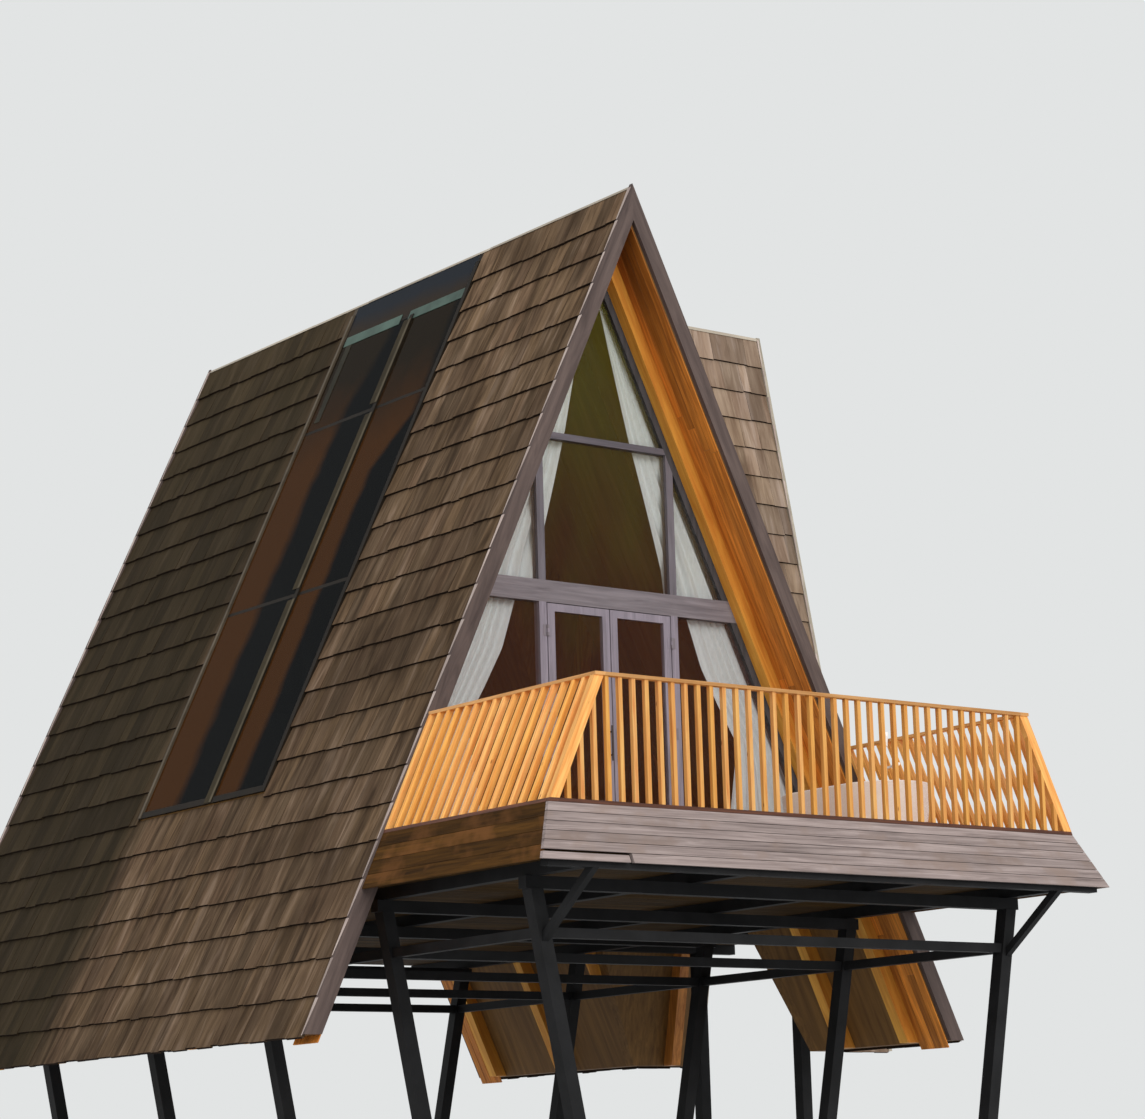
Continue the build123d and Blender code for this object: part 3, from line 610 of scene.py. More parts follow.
def cap_ridge(name, slopes, start, stop, reach, replaces, seed):
    """Folded lengths of cap, each lapping the next: two narrow sides and a flat top."""
    boards = Boards(seed)
    count = math.ceil((stop - start) / CAP_LENGTH)
    step = (stop - start) / count
    for i in range(count):
        first = start + i * step
        last = min(stop, first + step + CAP_LAP)
        lift = CAP_LIFT + LAPPED_LIFT * (i % 2)
        tone = boards.chance.random()
        ring = ((0.0, first), (0.0, last), (reach, last), (reach, first))
        for slope in slopes:
            boards.add(flat_on_slope(slope, ring, lift - CAP_SHEET, lift), tone)
        one, other = slopes
        top = [on_slope(one, 0.0, first, lift), on_slope(one, 0.0, last, lift),
               on_slope(other, 0.0, last, lift), on_slope(other, 0.0, first, lift)]
        boards.add([spot - Vector((0, 0, CAP_SHEET)) for spot in top] + top, tone)
    boards.make(name, cap_metal, replaces=replaces)


cap_ridge("ridge_cap_main", list(roof_slopes.values()), BARGE_THICKNESS, roof_length - BARGE_THICKNESS,
          MAIN_REACH, ("ridge_cap",), 21)
cap_ridge("ridge_cap_branch", list(wing_slopes.values()), 0.0, wing_end - BARGE_THICKNESS,
          WING_REACH, ("wing_ridge_cap",), 22)

# %% [markdown]
# ## Edge flashings
# At the gables each course ends on a sliver of light flashing that is widest under the butt above and
# narrows downwards, which gives the edge of the roof its fine saw-tooth. A light line painted along
# the barge would stay straight. Separate slivers, a little uneven as the real ones are, give the
# teeth.

# %% Lay the edge flashings
flashing_metal = timber("edge_flashing", srgb(150, 130, 122), srgb(206, 190, 180), tone_depth=0.25,
                        grain=(2.0, 9.0, 9.0), roughness=0.6, relief=0.15)
BARGE_TOP, FLASHING_SHEET = 0.010, 0.003
TOOTH_TOP, TOOTH_FOOT = 0.02, 0.004
WIDE_SHARES, THIN_SHARES = (0.65, 1.0), (0.1, 0.3)


def tooth_edge(boards, slope, along, inwards, widest):
    """Slivers of flashing down one gable edge; along is the edge's place, inwards is 1 or -1."""
    for course in range(COURSE_COUNT):
        top = course_edge(slope, course) + TOOTH_TOP
        foot = course_edge(slope, course + 1) - TOOTH_FOOT
        wide = boards.chance.uniform(*WIDE_SHARES) * widest
        thin = boards.chance.uniform(*THIN_SHARES) * widest
        edge = along + inwards * BARGE_THICKNESS
        ring = ((top, edge - inwards * wide), (foot, edge - inwards * thin), (foot, edge), (top, edge))
        boards.add(flat_on_slope(slope, ring, BARGE_TOP, BARGE_TOP + FLASHING_SHEET))


flashings = Boards(23)
for side in (LEFT, RIGHT):
    tooth_edge(flashings, roof_slopes[side], 0.0, 1, BARGE_THICKNESS)
    tooth_edge(flashings, roof_slopes[side], roof_length, -1, BARGE_THICKNESS)
    tooth_edge(flashings, wing_slopes[side], wing_end, -1, BARGE_THICKNESS / 2)
flashings.make("edge_flashings", flashing_metal)

# %% [markdown]
# ## Barge boards and rafters
# The barge boards are painted a dark grey brown that has gone slightly purple in the weather. They
# keep the shape they have in the frame, and only need a grain that runs down the slope. Turning the
# object coordinates by the roof's angle does that without touching the mesh. The rafters outside the
# glass are oiled: yellow on the broad inner faces, redder on the faces to the front. The rafters of
# the room behind the glass are painted a dull dark brown, as the shade of the room. One piece can
# carry all three colours, because the finish asks where it is and which way it faces.

# %% Finish the barge boards and rafters
def leaning(name, side, **options):
    """A timber whose grain runs down one main slope."""
    tilt = 90 + side * math.degrees(ROOF_ANGLE)
    return timber(name, space="cabin", turn=(0, tilt, 0), **options)


def blend_finish(material, share, other):
    """Tints a finished timber with a second colour, by a share from 0 to 1."""
    tree, shader = material.node_tree, main_shader(material)
    below = shader.inputs["Base Color"].links[0].from_socket
    over = mixed(tree, 1.0, other, below, "MULTIPLY")
    tree.links.new(mixed(tree, share(tree), below, over), shader.inputs["Base Color"])


FACING_FRONT = 0.7
ROOM_HALF = roof_length / 2 - 0.60
FRONT_REDDER, ROOM_SHADE = (0.68, 0.57, 0.46, 1.0), (0.14, 0.15, 0.13, 1.0)


def front_facing(tree):
    """1 on faces that look to the front or the back, 0 elsewhere."""
    normal = split_axes(tree, node(tree, "ShaderNodeNewGeometry").outputs["True Normal"])
    return maths(tree, "GREATER_THAN", maths(tree, "ABSOLUTE", normal["Y"]), FACING_FRONT)


def in_the_room(tree):
    """1 above the floor and between the front and the back glass, 0 elsewhere."""
    at = split_axes(tree, cabin_spot(tree))
    off_middle = maths(tree, "ABSOLUTE", maths(tree, "SUBTRACT", at["Y"], gable_y + roof_length / 2))
    return maths(tree, "MULTIPLY", maths(tree, "LESS_THAN", off_middle, ROOM_HALF),
                 maths(tree, "GREATER_THAN", at["Z"], deck_z))


for side, word in ((LEFT, "left"), (RIGHT, "right")):
    barge = leaning(f"barge_grey_{word}", side, dark=srgb(65, 53, 50), light=srgb(105, 89, 83),
                    tone_depth=0.12, grain=(1.2, 14.0, 14.0), roughness=0.7, relief=0.4)
    dress(barge, f"front_barge_{word}", f"back_barge_{word}")
    rafter = leaning(f"rafter_orange_{word}", side, dark=srgb(214, 135, 47), light=srgb(254, 193, 86),
                     tone_depth=0.12, grain=(1.2, 18.0, 18.0), roughness=0.5, relief=0.3, knots=0.5)
    blend_finish(rafter, front_facing, FRONT_REDDER)
    # Painted shade: the rafters inside the room are darkened.
    blend_finish(rafter, in_the_room, ROOM_SHADE)
    dress(rafter, f"rafters_{word}")
wing_edge = timber("wing_edge_pale", srgb(140, 130, 114), srgb(196, 186, 168), space="cabin",
                   turn=(0, 90, 0), tone_depth=0.15, grain=(1.2, 14.0, 14.0), relief=0.4)
dress(wing_edge, "wing_barge_front", "wing_barge_back")
wing_timber = timber("wing_rafter_orange", srgb(160, 92, 34), srgb(222, 148, 70), space="cabin",
                     turn=(0, 90, 0), tone_depth=0.15, roughness=0.5, relief=0.3)
dress(wing_timber, "wing_rafters")

# %% [markdown]
# ## The lining
# Between the barge and the first rafter the underside of the roof shows: four oiled boards on each
# side that run down the slope, in lengths of two metres or so, some honey coloured and some nearly
# chocolate. They are real boards here, with a hair gap between them, because the gaps are what shows
# in raking light. Towards the apex their colour is painted darker, as the shade that gathers in the
# narrow angle under the ridge.

# %% Lay the lining boards
LINING_DEPTH, LINING_THICKNESS, LINING_COUNT = 0.150, 0.012, 4
LINING_LENGTHS, SHORTEST_LENGTH = (1.3, 2.9), 0.4
BOARD_GAP, APEX_GAP = 0.002, 0.02
APEX_SHADE_FROM, APEX_SHADE_TO = 4.3, 5.8
APEX_SHADE = (0.37, 0.34, 0.37, 1.0)
RAFTER_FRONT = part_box("rafters_left")[0].y - gable_y
RAFTER_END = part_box("rafters_left")[1].y - gable_y
eave_foot = (RIDGE_HEIGHT + eave_drop) / roof_cos


def near_the_apex(tree):
    at = split_axes(tree, cabin_spot(tree))
    return fade(tree, at["Z"], 0.0, 1.0, deck_z + APEX_SHADE_FROM, deck_z + APEX_SHADE_TO)


def line_bay(boards, side, start, stop):
    """Boards down the slope between two places along the roof."""
    width = (stop - start) / LINING_COUNT
    for i in range(LINING_COUNT):
        first = start + i * width + BOARD_GAP
        last = start + (i + 1) * width - BOARD_GAP
        down = LINING_DEPTH / math.tan(ROOF_ANGLE) + APEX_GAP
        while down < eave_foot:
            end = min(eave_foot, down + boards.chance.uniform(*LINING_LENGTHS))
            if eave_foot - end < SHORTEST_LENGTH:
                end = eave_foot
            ring = ((down, first), (end - BOARD_GAP, first), (end - BOARD_GAP, last), (down, last))
            levels = (-LINING_DEPTH, -LINING_DEPTH - LINING_THICKNESS)
            boards.add(flat_on_slope(roof_slopes[side], ring, *levels))
            down = end


lining_wood = timber("lining_orange", srgb(160, 90, 34), srgb(242, 156, 62), tone_depth=0.32,
                     grain=(1.4, 24.0, 24.0), roughness=0.5, relief=0.35, knots=0.35)
# Painted shade: the lining darkens towards the apex.
blend_finish(lining_wood, near_the_apex, APEX_SHADE)
linings = Boards(31)
for side in (LEFT, RIGHT):
    line_bay(linings, side, BARGE_THICKNESS, RAFTER_FRONT)
    line_bay(linings, side, RAFTER_END, roof_length - BARGE_THICKNESS)
linings.make("lining_boards", lining_wood, bevel=0.0015)

# %% [markdown]
# ## The lining indoors
# Further in, the lining is only seen through glass. More boards would cost faces that nobody sees, so
# the slabs of the frame get a plainer timber as a finish, with its grain running down each slope. Its
# colours are darker and browner than the oiled boards outside: partly the plainer wood, partly
# painted shade of the room.

# %% Finish the inner slabs
# Partly the wood's own brown, partly painted shade of the room.
INNER_DARK, INNER_LIGHT = srgb(96, 66, 32), srgb(140, 102, 52)
for side, slabs in ((LEFT, ("roof_left",)), (RIGHT, ("roof_right_front", "roof_right_back"))):
    word = "left" if side == LEFT else "right"
    inner_lining = leaning(f"inner_lining_{word}", side, dark=INNER_DARK, light=INNER_LIGHT,
                           tone_depth=0.12, grain=(1.0, 14.0, 14.0), roughness=0.6, relief=0.3)
    dress(inner_lining, *slabs)
wing_inner = timber("inner_lining_wing", INNER_DARK, INNER_LIGHT, space="cabin", turn=(0, 90, 0),
                    tone_depth=0.2, roughness=0.6)
dress(wing_inner, "wing_roof_front", "wing_roof_back")

# %% [markdown]
# ## The deck front
# Six grey boards face the deck, leaning forward, weathered to the grey mauve of old softwood. The
# lowest one has broken near the left corner: a short length has dropped by more than a centimetre
# and left a dark gap. The flaw is kept, because it is what tells the eye that these are separate
# boards. Lines in a bump could draw the joints, but neither the gap nor the ends that are cut to the
# slope of the roof, so each board gets its own eight corners.

# %% Face the deck front
weathered = timber("weathered_fascia", srgb(110, 97, 93), srgb(176, 160, 155), patch=srgb(142, 124, 115),
                   patch_share=0.35, tone_depth=0.14, grain=(1.1, 26.0, 26.0), roughness=0.85, relief=0.8)
FASCIA_THICKNESS, FASCIA_HEIGHT, FASCIA_COUNT = 0.035, 0.47, 6
FLARE = math.radians(22.8)
DECK_DEPTH = 2.3
DROPPED_LENGTH, DROPPED_BY = 0.82, 0.016


def flare_point(x, z, inset):
    """A point on the leaning front of the deck, inset square to its face."""
    return place(x, -DECK_DEPTH + z * math.tan(FLARE) + inset / math.cos(FLARE), z)


def front_board(boards, x_from, x_to, z_top, z_foot, mitre=(True, True)):
    """One board across the front, with its ends cut to the slope of the roof where they meet it."""
    corners = []
    for inset in (0.0, FASCIA_THICKNESS):
        for x, z, cut in ((x_from, z_top, mitre[0]), (x_to, z_top, mitre[1]),
                          (x_to, z_foot, mitre[1]), (x_from, z_foot, mitre[0])):
            reach = math.copysign(roof_x(z), x) if cut else x
            corners.append(flare_point(reach, z, inset))
    boards.add(corners)


deck_front = Boards(41)
board_drop = FASCIA_HEIGHT / FASCIA_COUNT
for i in range(FASCIA_COUNT):
    top = -i * board_drop - BOARD_GAP
    foot = -(i + 1) * board_drop + BOARD_GAP
    if i < FASCIA_COUNT - 1:
        front_board(deck_front, LEFT, RIGHT, top, foot)
    else:
        split = -roof_x(top) + DROPPED_LENGTH
        front_board(deck_front, LEFT, split, top - DROPPED_BY, foot, (True, False))
        front_board(deck_front, split + 2 * DROPPED_BY, RIGHT, top, foot, (False, True))
deck_front.make("fascia_boards_front", weathered, replaces=("fascia_front",), bevel=0.002)

# %% [markdown]
# ## The deck sides
# Down the two sides, four browner boards close the edge of the deck. They lie in the plane of the
# roof, so that the slope seems to carry on below the floor, and their front ends are cut to meet the
# backs of the front boards. The top one on each side is dark, so it is given its tone and only the
# others take one by chance.

# %% Face the deck sides
side_weathered = timber("brown_fascia", srgb(46, 29, 10), srgb(95, 63, 24), patch=srgb(108, 70, 36),
                        patch_share=0.3, tone_depth=0.25, grain=(1.3, 24.0, 24.0), roughness=0.85, relief=0.8,
                        gloss=0.1)
SIDE_COUNT, TOP_TONE, BEHIND_FRONT = 4, 0.1, 0.001


def side_board(boards, side, z_top, z_foot, tone=None):
    """One board down a side, from the gable to just behind the front boards."""
    corners = []
    for depth in (0.0, FASCIA_THICKNESS):
        for at_front, z in ((True, z_top), (False, z_top), (False, z_foot), (True, z_foot)):
            front = flare_point(0, z, FASCIA_THICKNESS + BEHIND_FRONT).y - gable_y
            corners.append(place(side * roof_x(z, depth), front if at_front else 0.0, z))
    boards.add(corners, tone)


deck_sides = Boards(42)
side_drop = FASCIA_HEIGHT / SIDE_COUNT
for side in (LEFT, RIGHT):
    for i in range(SIDE_COUNT):
        top, foot = -i * side_drop, -(i + 1) * side_drop + BOARD_GAP
        side_board(deck_sides, side, top, foot, TOP_TONE if i == 0 else None)
deck_sides.make("fascia_boards_sides", side_weathered,
                replaces=("fascia_left", "fascia_right"), bevel=0.002)

# %% [markdown]
# ## Deck and floors
# Deck boards run across the deck with gaps that let the rain through. They are laid one after
# another and the last one is cut to what is left, as on site. An array modifier could space them as
# well, but each would then have the same grain. Indoors the floor is only seen through glass, so
# there the slab of the frame keeps its place and gets a finish.

# %% Lay the deck
deck_wood = timber("deck_boards", srgb(150, 100, 52), srgb(214, 158, 92), patch=srgb(150, 128, 102),
                   patch_share=0.3, tone_depth=0.2, grain=(1.2, 20.0, 20.0), roughness=0.7, relief=0.5,
                   knots=0.4)
floor_wood = timber("cabin_floor_boards", srgb(96, 62, 36), srgb(152, 108, 66), space="cabin",
                    turn=(0, 0, 90), tone_depth=0.2, grain=(1.2, 18.0, 18.0), roughness=0.45, relief=0.2)
DECK_BOARD, DECK_GAP, DECK_THICKNESS = 0.138, 0.006, 0.032


def across(boards, half, start, stop, z_low, z_high, width, gap):
    """Boards across the cabin between two places along it, with the last one cut to what is left."""
    y = start
    while y < stop - gap:
        end = min(stop, y + width)
        boards.block(place(-half, y, z_low), place(half, end, z_high))
        y = end + gap


decking = Boards(51)
deck_half = roof_x(0.0, FASCIA_THICKNESS) - BOARD_GAP
deck_start = -DECK_DEPTH + FASCIA_THICKNESS / math.cos(FLARE)
across(decking, deck_half, deck_start, 0.0, -DECK_THICKNESS, 0.0, DECK_BOARD, DECK_GAP)
decking.make("deck_boards", deck_wood, replaces=("deck_floor",), bevel=0.002)
dress(floor_wood, "cabin_floor", "wing_floor")

# %% [markdown]
# ## The boarded underside
# The underside is boarded the same way, and shows well, because the cabin is mostly seen from below.
# Its boards stop short where a rafter passes. They could be laid over the whole width and cut by the
# rafters with a boolean, but asking for each board's reach before it is laid leaves cleaner meshes.
# The boards replace a plain slab of the frame, which stays behind the scenes to be stood on.

# %% Board the underside
# Partly the boards' own dark brown, partly painted shade of the underside.
under_wood_and_shade = timber("underside_boards", srgb(42, 30, 13), srgb(82, 59, 26), tone_depth=0.3,
                    grain=(1.2, 20.0, 20.0), roughness=0.75, relief=0.5, knots=0.4, gloss=0.1)
UNDER_BOARD, UNDER_GAP, UNDER_THICKNESS = 0.12, 0.004, 0.02
RAFTER_DEPTH, RAFTER_WIDTH = 0.13, 0.12
MAIN_RAFTERS = (0.42, 1.325, 2.23, 4.65, 5.885, 7.12)
WING_RAFTERS = (2.2, 3.88)
under_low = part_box("underfloor_boards")[0].z - deck_z
under_high = under_low + UNDER_THICKNESS
rim_back = roof_length - BARGE_THICKNESS
wing_rim_back = wing_end - BARGE_THICKNESS


def wing_y(z, depth=0.0):
    """Half width of the wing roof at height z, at a depth square to its slope."""
    return (RIDGE_HEIGHT - z) * math.tan(WING_ANGLE) - depth / wing_cos


def clear_of(start, stop, rafters):
    """How far out the boards may reach: to the lining, or to a rafter where one passes."""
    meets = any(start < r + RAFTER_WIDTH and stop > r for r in rafters)
    return LINING_DEPTH + (RAFTER_DEPTH if meets else 0.0)


def board_underside(boards, start, stop, rafters, half_width, put):
    """Boards side by side from start to stop; half_width(depth) is their reach to either side."""
    while start < stop - UNDER_GAP:
        end = min(stop, start + UNDER_BOARD)
        put(boards, start, end, half_width(clear_of(start, end, rafters)))
        start = end + UNDER_GAP


def put_across_roof(boards, start, stop, half):
    boards.block(place(-half, start, under_low), place(half, stop, under_high))


def put_across_wing(boards, start, stop, half):
    low = place(start, WING_RIDGE_Y - half, under_low)
    boards.block(low, place(stop, WING_RIDGE_Y + half, under_high), "y")


underside = Boards(52)
across(underside, roof_x(under_high, FASCIA_THICKNESS),
       -DECK_DEPTH + under_low * math.tan(FLARE) + 2 * FASCIA_THICKNESS, 0.0, under_low, under_high,
       UNDER_BOARD, UNDER_GAP)
board_underside(underside, 0.0, rim_back - FASCIA_THICKNESS, MAIN_RAFTERS,
                lambda depth: roof_x(under_high, depth), put_across_roof)
board_underside(underside, roof_x(under_high, LINING_DEPTH), wing_rim_back - FASCIA_THICKNESS, WING_RAFTERS,
                lambda depth: wing_y(under_high, depth), put_across_wing)
underside.make("underside_boards", under_wood_and_shade, replaces=("underfloor_boards",), bevel=0.002)

# %% [markdown]
# ## The rims
# At the back and under the wing the edge of the floor is closed by four boards, one above another,
# with their ends cut to the slopes. They are the same grey timber as the deck front, so they share
# its finish. The joists behind them keep the shape that they have in the frame.

# %% Close the rims
RIM_COUNT = 4
rim_drop = -under_low / RIM_COUNT
rim_inner = LINING_DEPTH + RAFTER_DEPTH
rims = Boards(53)
for i in range(RIM_COUNT):
    top, foot = -i * rim_drop, -(i + 1) * rim_drop + BOARD_GAP
    ring = ((LEFT, top), (RIGHT, top), (RIGHT, foot), (LEFT, foot))
    rims.add([place(side * roof_x(z, rim_inner), y, z)
              for y in (rim_back, rim_back - FASCIA_THICKNESS) for side, z in ring])
    rims.add([place(x, WING_RIDGE_Y + side * wing_y(z, rim_inner), z)
              for x in (wing_rim_back, wing_rim_back - FASCIA_THICKNESS) for side, z in ring])
rims.make("rim_board_lengths", weathered, replaces=("rim_boards",), bevel=0.002)
# The joists take the same colours: partly their own dark brown, partly painted shade of the underside.
dress(timber("floor_frame_wood", srgb(42, 30, 13), srgb(82, 59, 26), space="cabin", turn=(0, 0, 90),
             tone_depth=0.2, relief=0.4), "floor_joists")

# %% [markdown]
# ## The rail timber
# The rails are the brightest thing on the cabin: fresh oiled timber, yellow on one stick and redder
# on the next. The sticks across the front are one piece of the frame, so one material has to serve
# them all. It counts the sticks by their spacing and gives each its own tone. The top rail is level
# and takes level grain, the corner posts lean with the roof and their grain leans with them, and the
# foot rail has gone dark brown where water stands.

# %% The places that the rail timber asks for
FRONT_STICKS, STICK, TOP_RAIL, FOOT_RAIL, POST_FACE = 43, 0.038, 0.028, 0.030, 0.084
STICK_SHIFT = 37.0
rail_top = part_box("rail_front")[1].z
stick_pitch = 2 * roof_x(0.0) / FRONT_STICKS
roof_tilt = math.degrees(ROOF_ANGLE)


def off_centre(tree, at):
    """How far a place is from the middle of the gable, on either side of it."""
    return maths(tree, "ABSOLUTE", maths(tree, "SUBTRACT", at["X"], centre_x))


def over_deck(tree, at):
    return maths(tree, "SUBTRACT", at["Z"], deck_z)


def in_corner_post(tree, at, face):
    """1 nearer to the slope of the roof than a post's face is wide, 0 elsewhere."""
    slope_x = maths(tree, "MULTIPLY_ADD", over_deck(tree, at), -math.tan(ROOF_ANGLE), roof_x(0.0))
    return maths(tree, "LESS_THAN", maths(tree, "SUBTRACT", slope_x, off_centre(tree, at)), face)


def stick_tone(tree, along, origin, in_post):
    """One chance tone for each stick, counted from the first; the posts count as stick 0."""
    number = maths(tree, "FLOOR", maths(tree, "DIVIDE", maths(tree, "SUBTRACT", along, origin), stick_pitch))
    return chance_of(tree, maths(tree, "MULTIPLY", number, maths(tree, "SUBTRACT", 1.0, in_post)))


def stick_spot(tree, spot, at, lean, in_post, tone):
    """Grain coordinates that stand with a stick or lean with a post, moved aside by the tone."""
    values = {"X": off_centre(tree, at), "Y": at["Y"], "Z": at["Z"]}
    mirrored = node(tree, "ShaderNodeCombineXYZ", values).outputs[0]
    stick = stretched(tree, spot, (1, 1, 1), (0, lean, 0))
    post = stretched(tree, mirrored, (1, 1, 1), (0, roof_tilt, 0))
    either = node(tree, "ShaderNodeMix", {0: in_post, 4: stick, 5: post}, data_type="VECTOR").outputs[1]
    aside = node(tree, "ShaderNodeCombineXYZ", {"X": maths(tree, "MULTIPLY", tone, STICK_SHIFT)}).outputs[0]
    return node(tree, "ShaderNodeVectorMath", {0: either, 1: aside}).outputs[0]


print("front sticks every", round(stick_pitch, 4), "m")

# %% [markdown]
# ## Finish the front rail
# The recipe mixes a yellow and a red timber by the tone of the stick, adds a few knots, and then
# lays the colours of the top rail and the foot rail over it by height. The same recipe serves the
# sides, where the sticks are counted along the cabin instead of across it. Each rail also takes a
# level of painted light: the side fences and corner posts are painted brighter, as if lit from the
# left, and the front rail is painted darker, as shade.

# %% The rail recipe
RAIL_DARK, RAIL_LIGHT = srgb(208, 132, 52), srgb(240, 178, 88)
RAIL_RED, RAIL_PALE = srgb(222, 140, 72), srgb(246, 196, 120)
TOP_DARK, TOP_LIGHT = srgb(180, 124, 66), srgb(216, 162, 102)
RAIL_KNOT, FOOT_DARK, FOOT_LIGHT = srgb(150, 84, 38), srgb(66, 37, 26), srgb(108, 64, 44)
# Painted light and shade: brightness levels for the front rail, the side fences and the corner posts.
FRONT_SHADE_LEVEL, SIDE_LIGHT_LEVEL, POST_LIGHT_LEVEL = 0.88, 1.22, 1.14
NO_POST = -1.0


def rail_finish(name, axis, origin, lean, stick_light_level):
    """Upright grain in the sticks, level grain in the rails, one tone to a stick."""
    material, tree, shader = new_material(name)
    spot = cabin_spot(tree)
    at = split_axes(tree, spot)
    in_post = in_corner_post(tree, at, POST_FACE / roof_cos if axis == "X" else NO_POST)
    tone = stick_tone(tree, at[axis], origin, in_post)
    own = stick_spot(tree, spot, at, lean, in_post, tone)
    level_way = (1.6, 34.0, 34.0) if axis == "X" else (34.0, 1.6, 34.0)
    grain = noise(tree, stretched(tree, own, (34.0, 34.0, 1.6)), 1.0, 4.0, 0.6, 0.5)
    level_grain = noise(tree, stretched(tree, spot, level_way), 1.0, 4.0, 0.6, 0.5)
    pores = noise(tree, stretched(tree, own, (150.0, 150.0, 9.0)), 1.0, 2.0, 0.6)
    wood = mixed(tree, tone, ramp(tree, grain, (0.3, RAIL_DARK), (0.68, RAIL_LIGHT)),
                 ramp(tree, grain, (0.3, RAIL_RED), (0.68, RAIL_PALE)))
    values = {"Vector": stretched(tree, own, (3.0, 3.0, 1.1)), "Scale": 2.6}
    eyes = node(tree, "ShaderNodeTexVoronoi", values).outputs["Distance"]
    wood = mixed(tree, ramp(tree, eyes, (0.03, grey(0.8)), (0.075, BLACK)), wood, RAIL_KNOT)
    wood = mixed(tree, maths(tree, "GREATER_THAN", at["Z"], rail_top - TOP_RAIL), wood,
                 ramp(tree, level_grain, (0.3, TOP_DARK), (0.7, TOP_LIGHT)))
    wood = mixed(tree, maths(tree, "LESS_THAN", over_deck(tree, at), FOOT_RAIL), wood,
                 ramp(tree, level_grain, (0.3, FOOT_DARK), (0.7, FOOT_LIGHT)))
    # Painted light: the sticks and the corner posts are made brighter or darker by their level.
    painted_light_level = maths(tree, "MULTIPLY_ADD", in_post, POST_LIGHT_LEVEL - stick_light_level, stick_light_level)
    shade = maths(tree, "MULTIPLY", fade(tree, pores, 0.9, 1.08), painted_light_level)
    tree.links.new(brightened(tree, wood, shade), shader.inputs["Base Color"])
    bump(tree, shader, grain, 0.2, 0.002)
    shader.inputs["Roughness"].default_value = 0.55
    shader.inputs["Specular IOR Level"].default_value = 0.3
    return material


dress(rail_finish("rail_front_wood", "X", centre_x - roof_x(0.0), 0.0, FRONT_SHADE_LEVEL), "rail_front")
soften(nodes["rail_front"], 0.0025)

# %% [markdown]
# ## The side fences
# Down the two sides the sticks are deeper than those across the front. Looked at from the corner
# they close up into what seems a boarded wall, though there is a finger's width between them. A
# scale on the frame's own rails would move them, so new fences stand in their places: sticks under
# the same top rail and on the same foot rail, which lean with the roof.

# %% Stand the side fences
SIDE_STICKS, SIDE_DEPTH, TOP_WIDTH = 17, 0.052, 0.070
first_side_stick = gable_y - (STICK + stick_pitch) / 2
rail_low, rail_high = rail_top - TOP_RAIL - deck_z, rail_top - deck_z


def leaning_bar(fence, side, start, stop, z_low, z_high):
    """A bar between two level cuts, with its faces in the plane of the roof."""
    fence.add([place(side * roof_x(z, depth), y, z) for y in (start, stop)
               for z, depth in ((z_low, 0.0), (z_high, 0.0), (z_high, SIDE_DEPTH), (z_low, SIDE_DEPTH))])


for side, word in ((LEFT, "left"), (RIGHT, "right")):
    fence = Boards(61)
    fence_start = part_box(f"rail_{word}")[0].y - gable_y
    leaning_bar(fence, side, fence_start + BOARD_GAP, 0.0, 0.0, FOOT_RAIL)
    for i in range(SIDE_STICKS):
        middle = -STICK / 2 - i * stick_pitch
        leaning_bar(fence, side, middle - STICK / 2, middle + STICK / 2, FOOT_RAIL, rail_low)
    middle = side * roof_x(rail_high, STICK / 2)
    fence.block(place(middle - TOP_WIDTH / 2, fence_start, rail_low),
                place(middle + TOP_WIDTH / 2, 0.0, rail_high), run="y")
    wood = rail_finish(f"rail_{word}_wood", "Y", first_side_stick, side * roof_tilt, SIDE_LIGHT_LEVEL)
    fence.make(f"fence_{word}", wood, replaces=(f"rail_{word}",), bevel=0.0025)

# %% [markdown]
# ## Window frames and doors
# The doors and the mullions beside them are stained a soft lavender grey, the transom is a plainer
# grey, and the upper part of the frame has stayed a dark slate, darkest in the jambs. One flat paint
# would hide that this is wood. Upright members want upright grain and level members want level
# grain, so the groups are turns and colours of one recipe. The mullions run through both parts, so
# they change colour at the transom.

# %% Finish the joinery
LEVEL, UPRIGHT = (0, 0, 0), (0, 90, 0)
GREY, SLATE = (srgb(98, 91, 95), srgb(136, 128, 132)), (srgb(74, 70, 75), srgb(108, 102, 109))
LAVENDER, JAMB_SLATE = (srgb(113, 106, 114), srgb(158, 149, 161)), (srgb(48, 47, 48), srgb(74, 71, 74))
UPPER_DARKER = (0.56, 0.57, 0.55, 1.0)
transom_middle = (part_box("front_transom")[0].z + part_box("front_transom")[1].z) / 2


def joinery(name, turn, dark, light):
    halfway = tuple(0.5 * (a + b) for a, b in zip(dark, light))
    return timber(name, dark, light, patch=halfway, patch_share=0.25, space="cabin", turn=turn,
                  tone_depth=0.1, grain=(1.4, 24.0, 24.0), roughness=0.6, relief=0.5)


def above_transom(tree):
    return maths(tree, "GREATER_THAN", split_axes(tree, cabin_spot(tree))["Z"], transom_middle)


dress(joinery("joinery_level", LEVEL, *GREY), "front_sill", "front_transom")
dress(joinery("joinery_bar", LEVEL, *SLATE), "front_upper_bar")
dress(joinery("joinery_upright", UPRIGHT, *LAVENDER), "door_left", "door_right", "back_frame", "wing_frame")
dress(joinery("joinery_jamb", UPRIGHT, *JAMB_SLATE), "front_jamb_left", "front_jamb_right")
mullion = joinery("joinery_mullion", UPRIGHT, *LAVENDER)
blend_finish(mullion, above_transom, UPPER_DARKER)
dress(mullion, "front_mullions")
for name in ("front_transom", "front_upper_bar", "front_mullions", "door_left", "door_right"):
    soften(nodes[name], 0.002)

# %% [markdown]
# ## Glass
# Window glass is mostly what lies behind it. From outside by day a room reads as dark, and the pane
# adds a brown cast and a little gloss. A see-through share on the ordinary shader does this well:
# light still reaches the curtains through it, which a solid refracting pane would block.

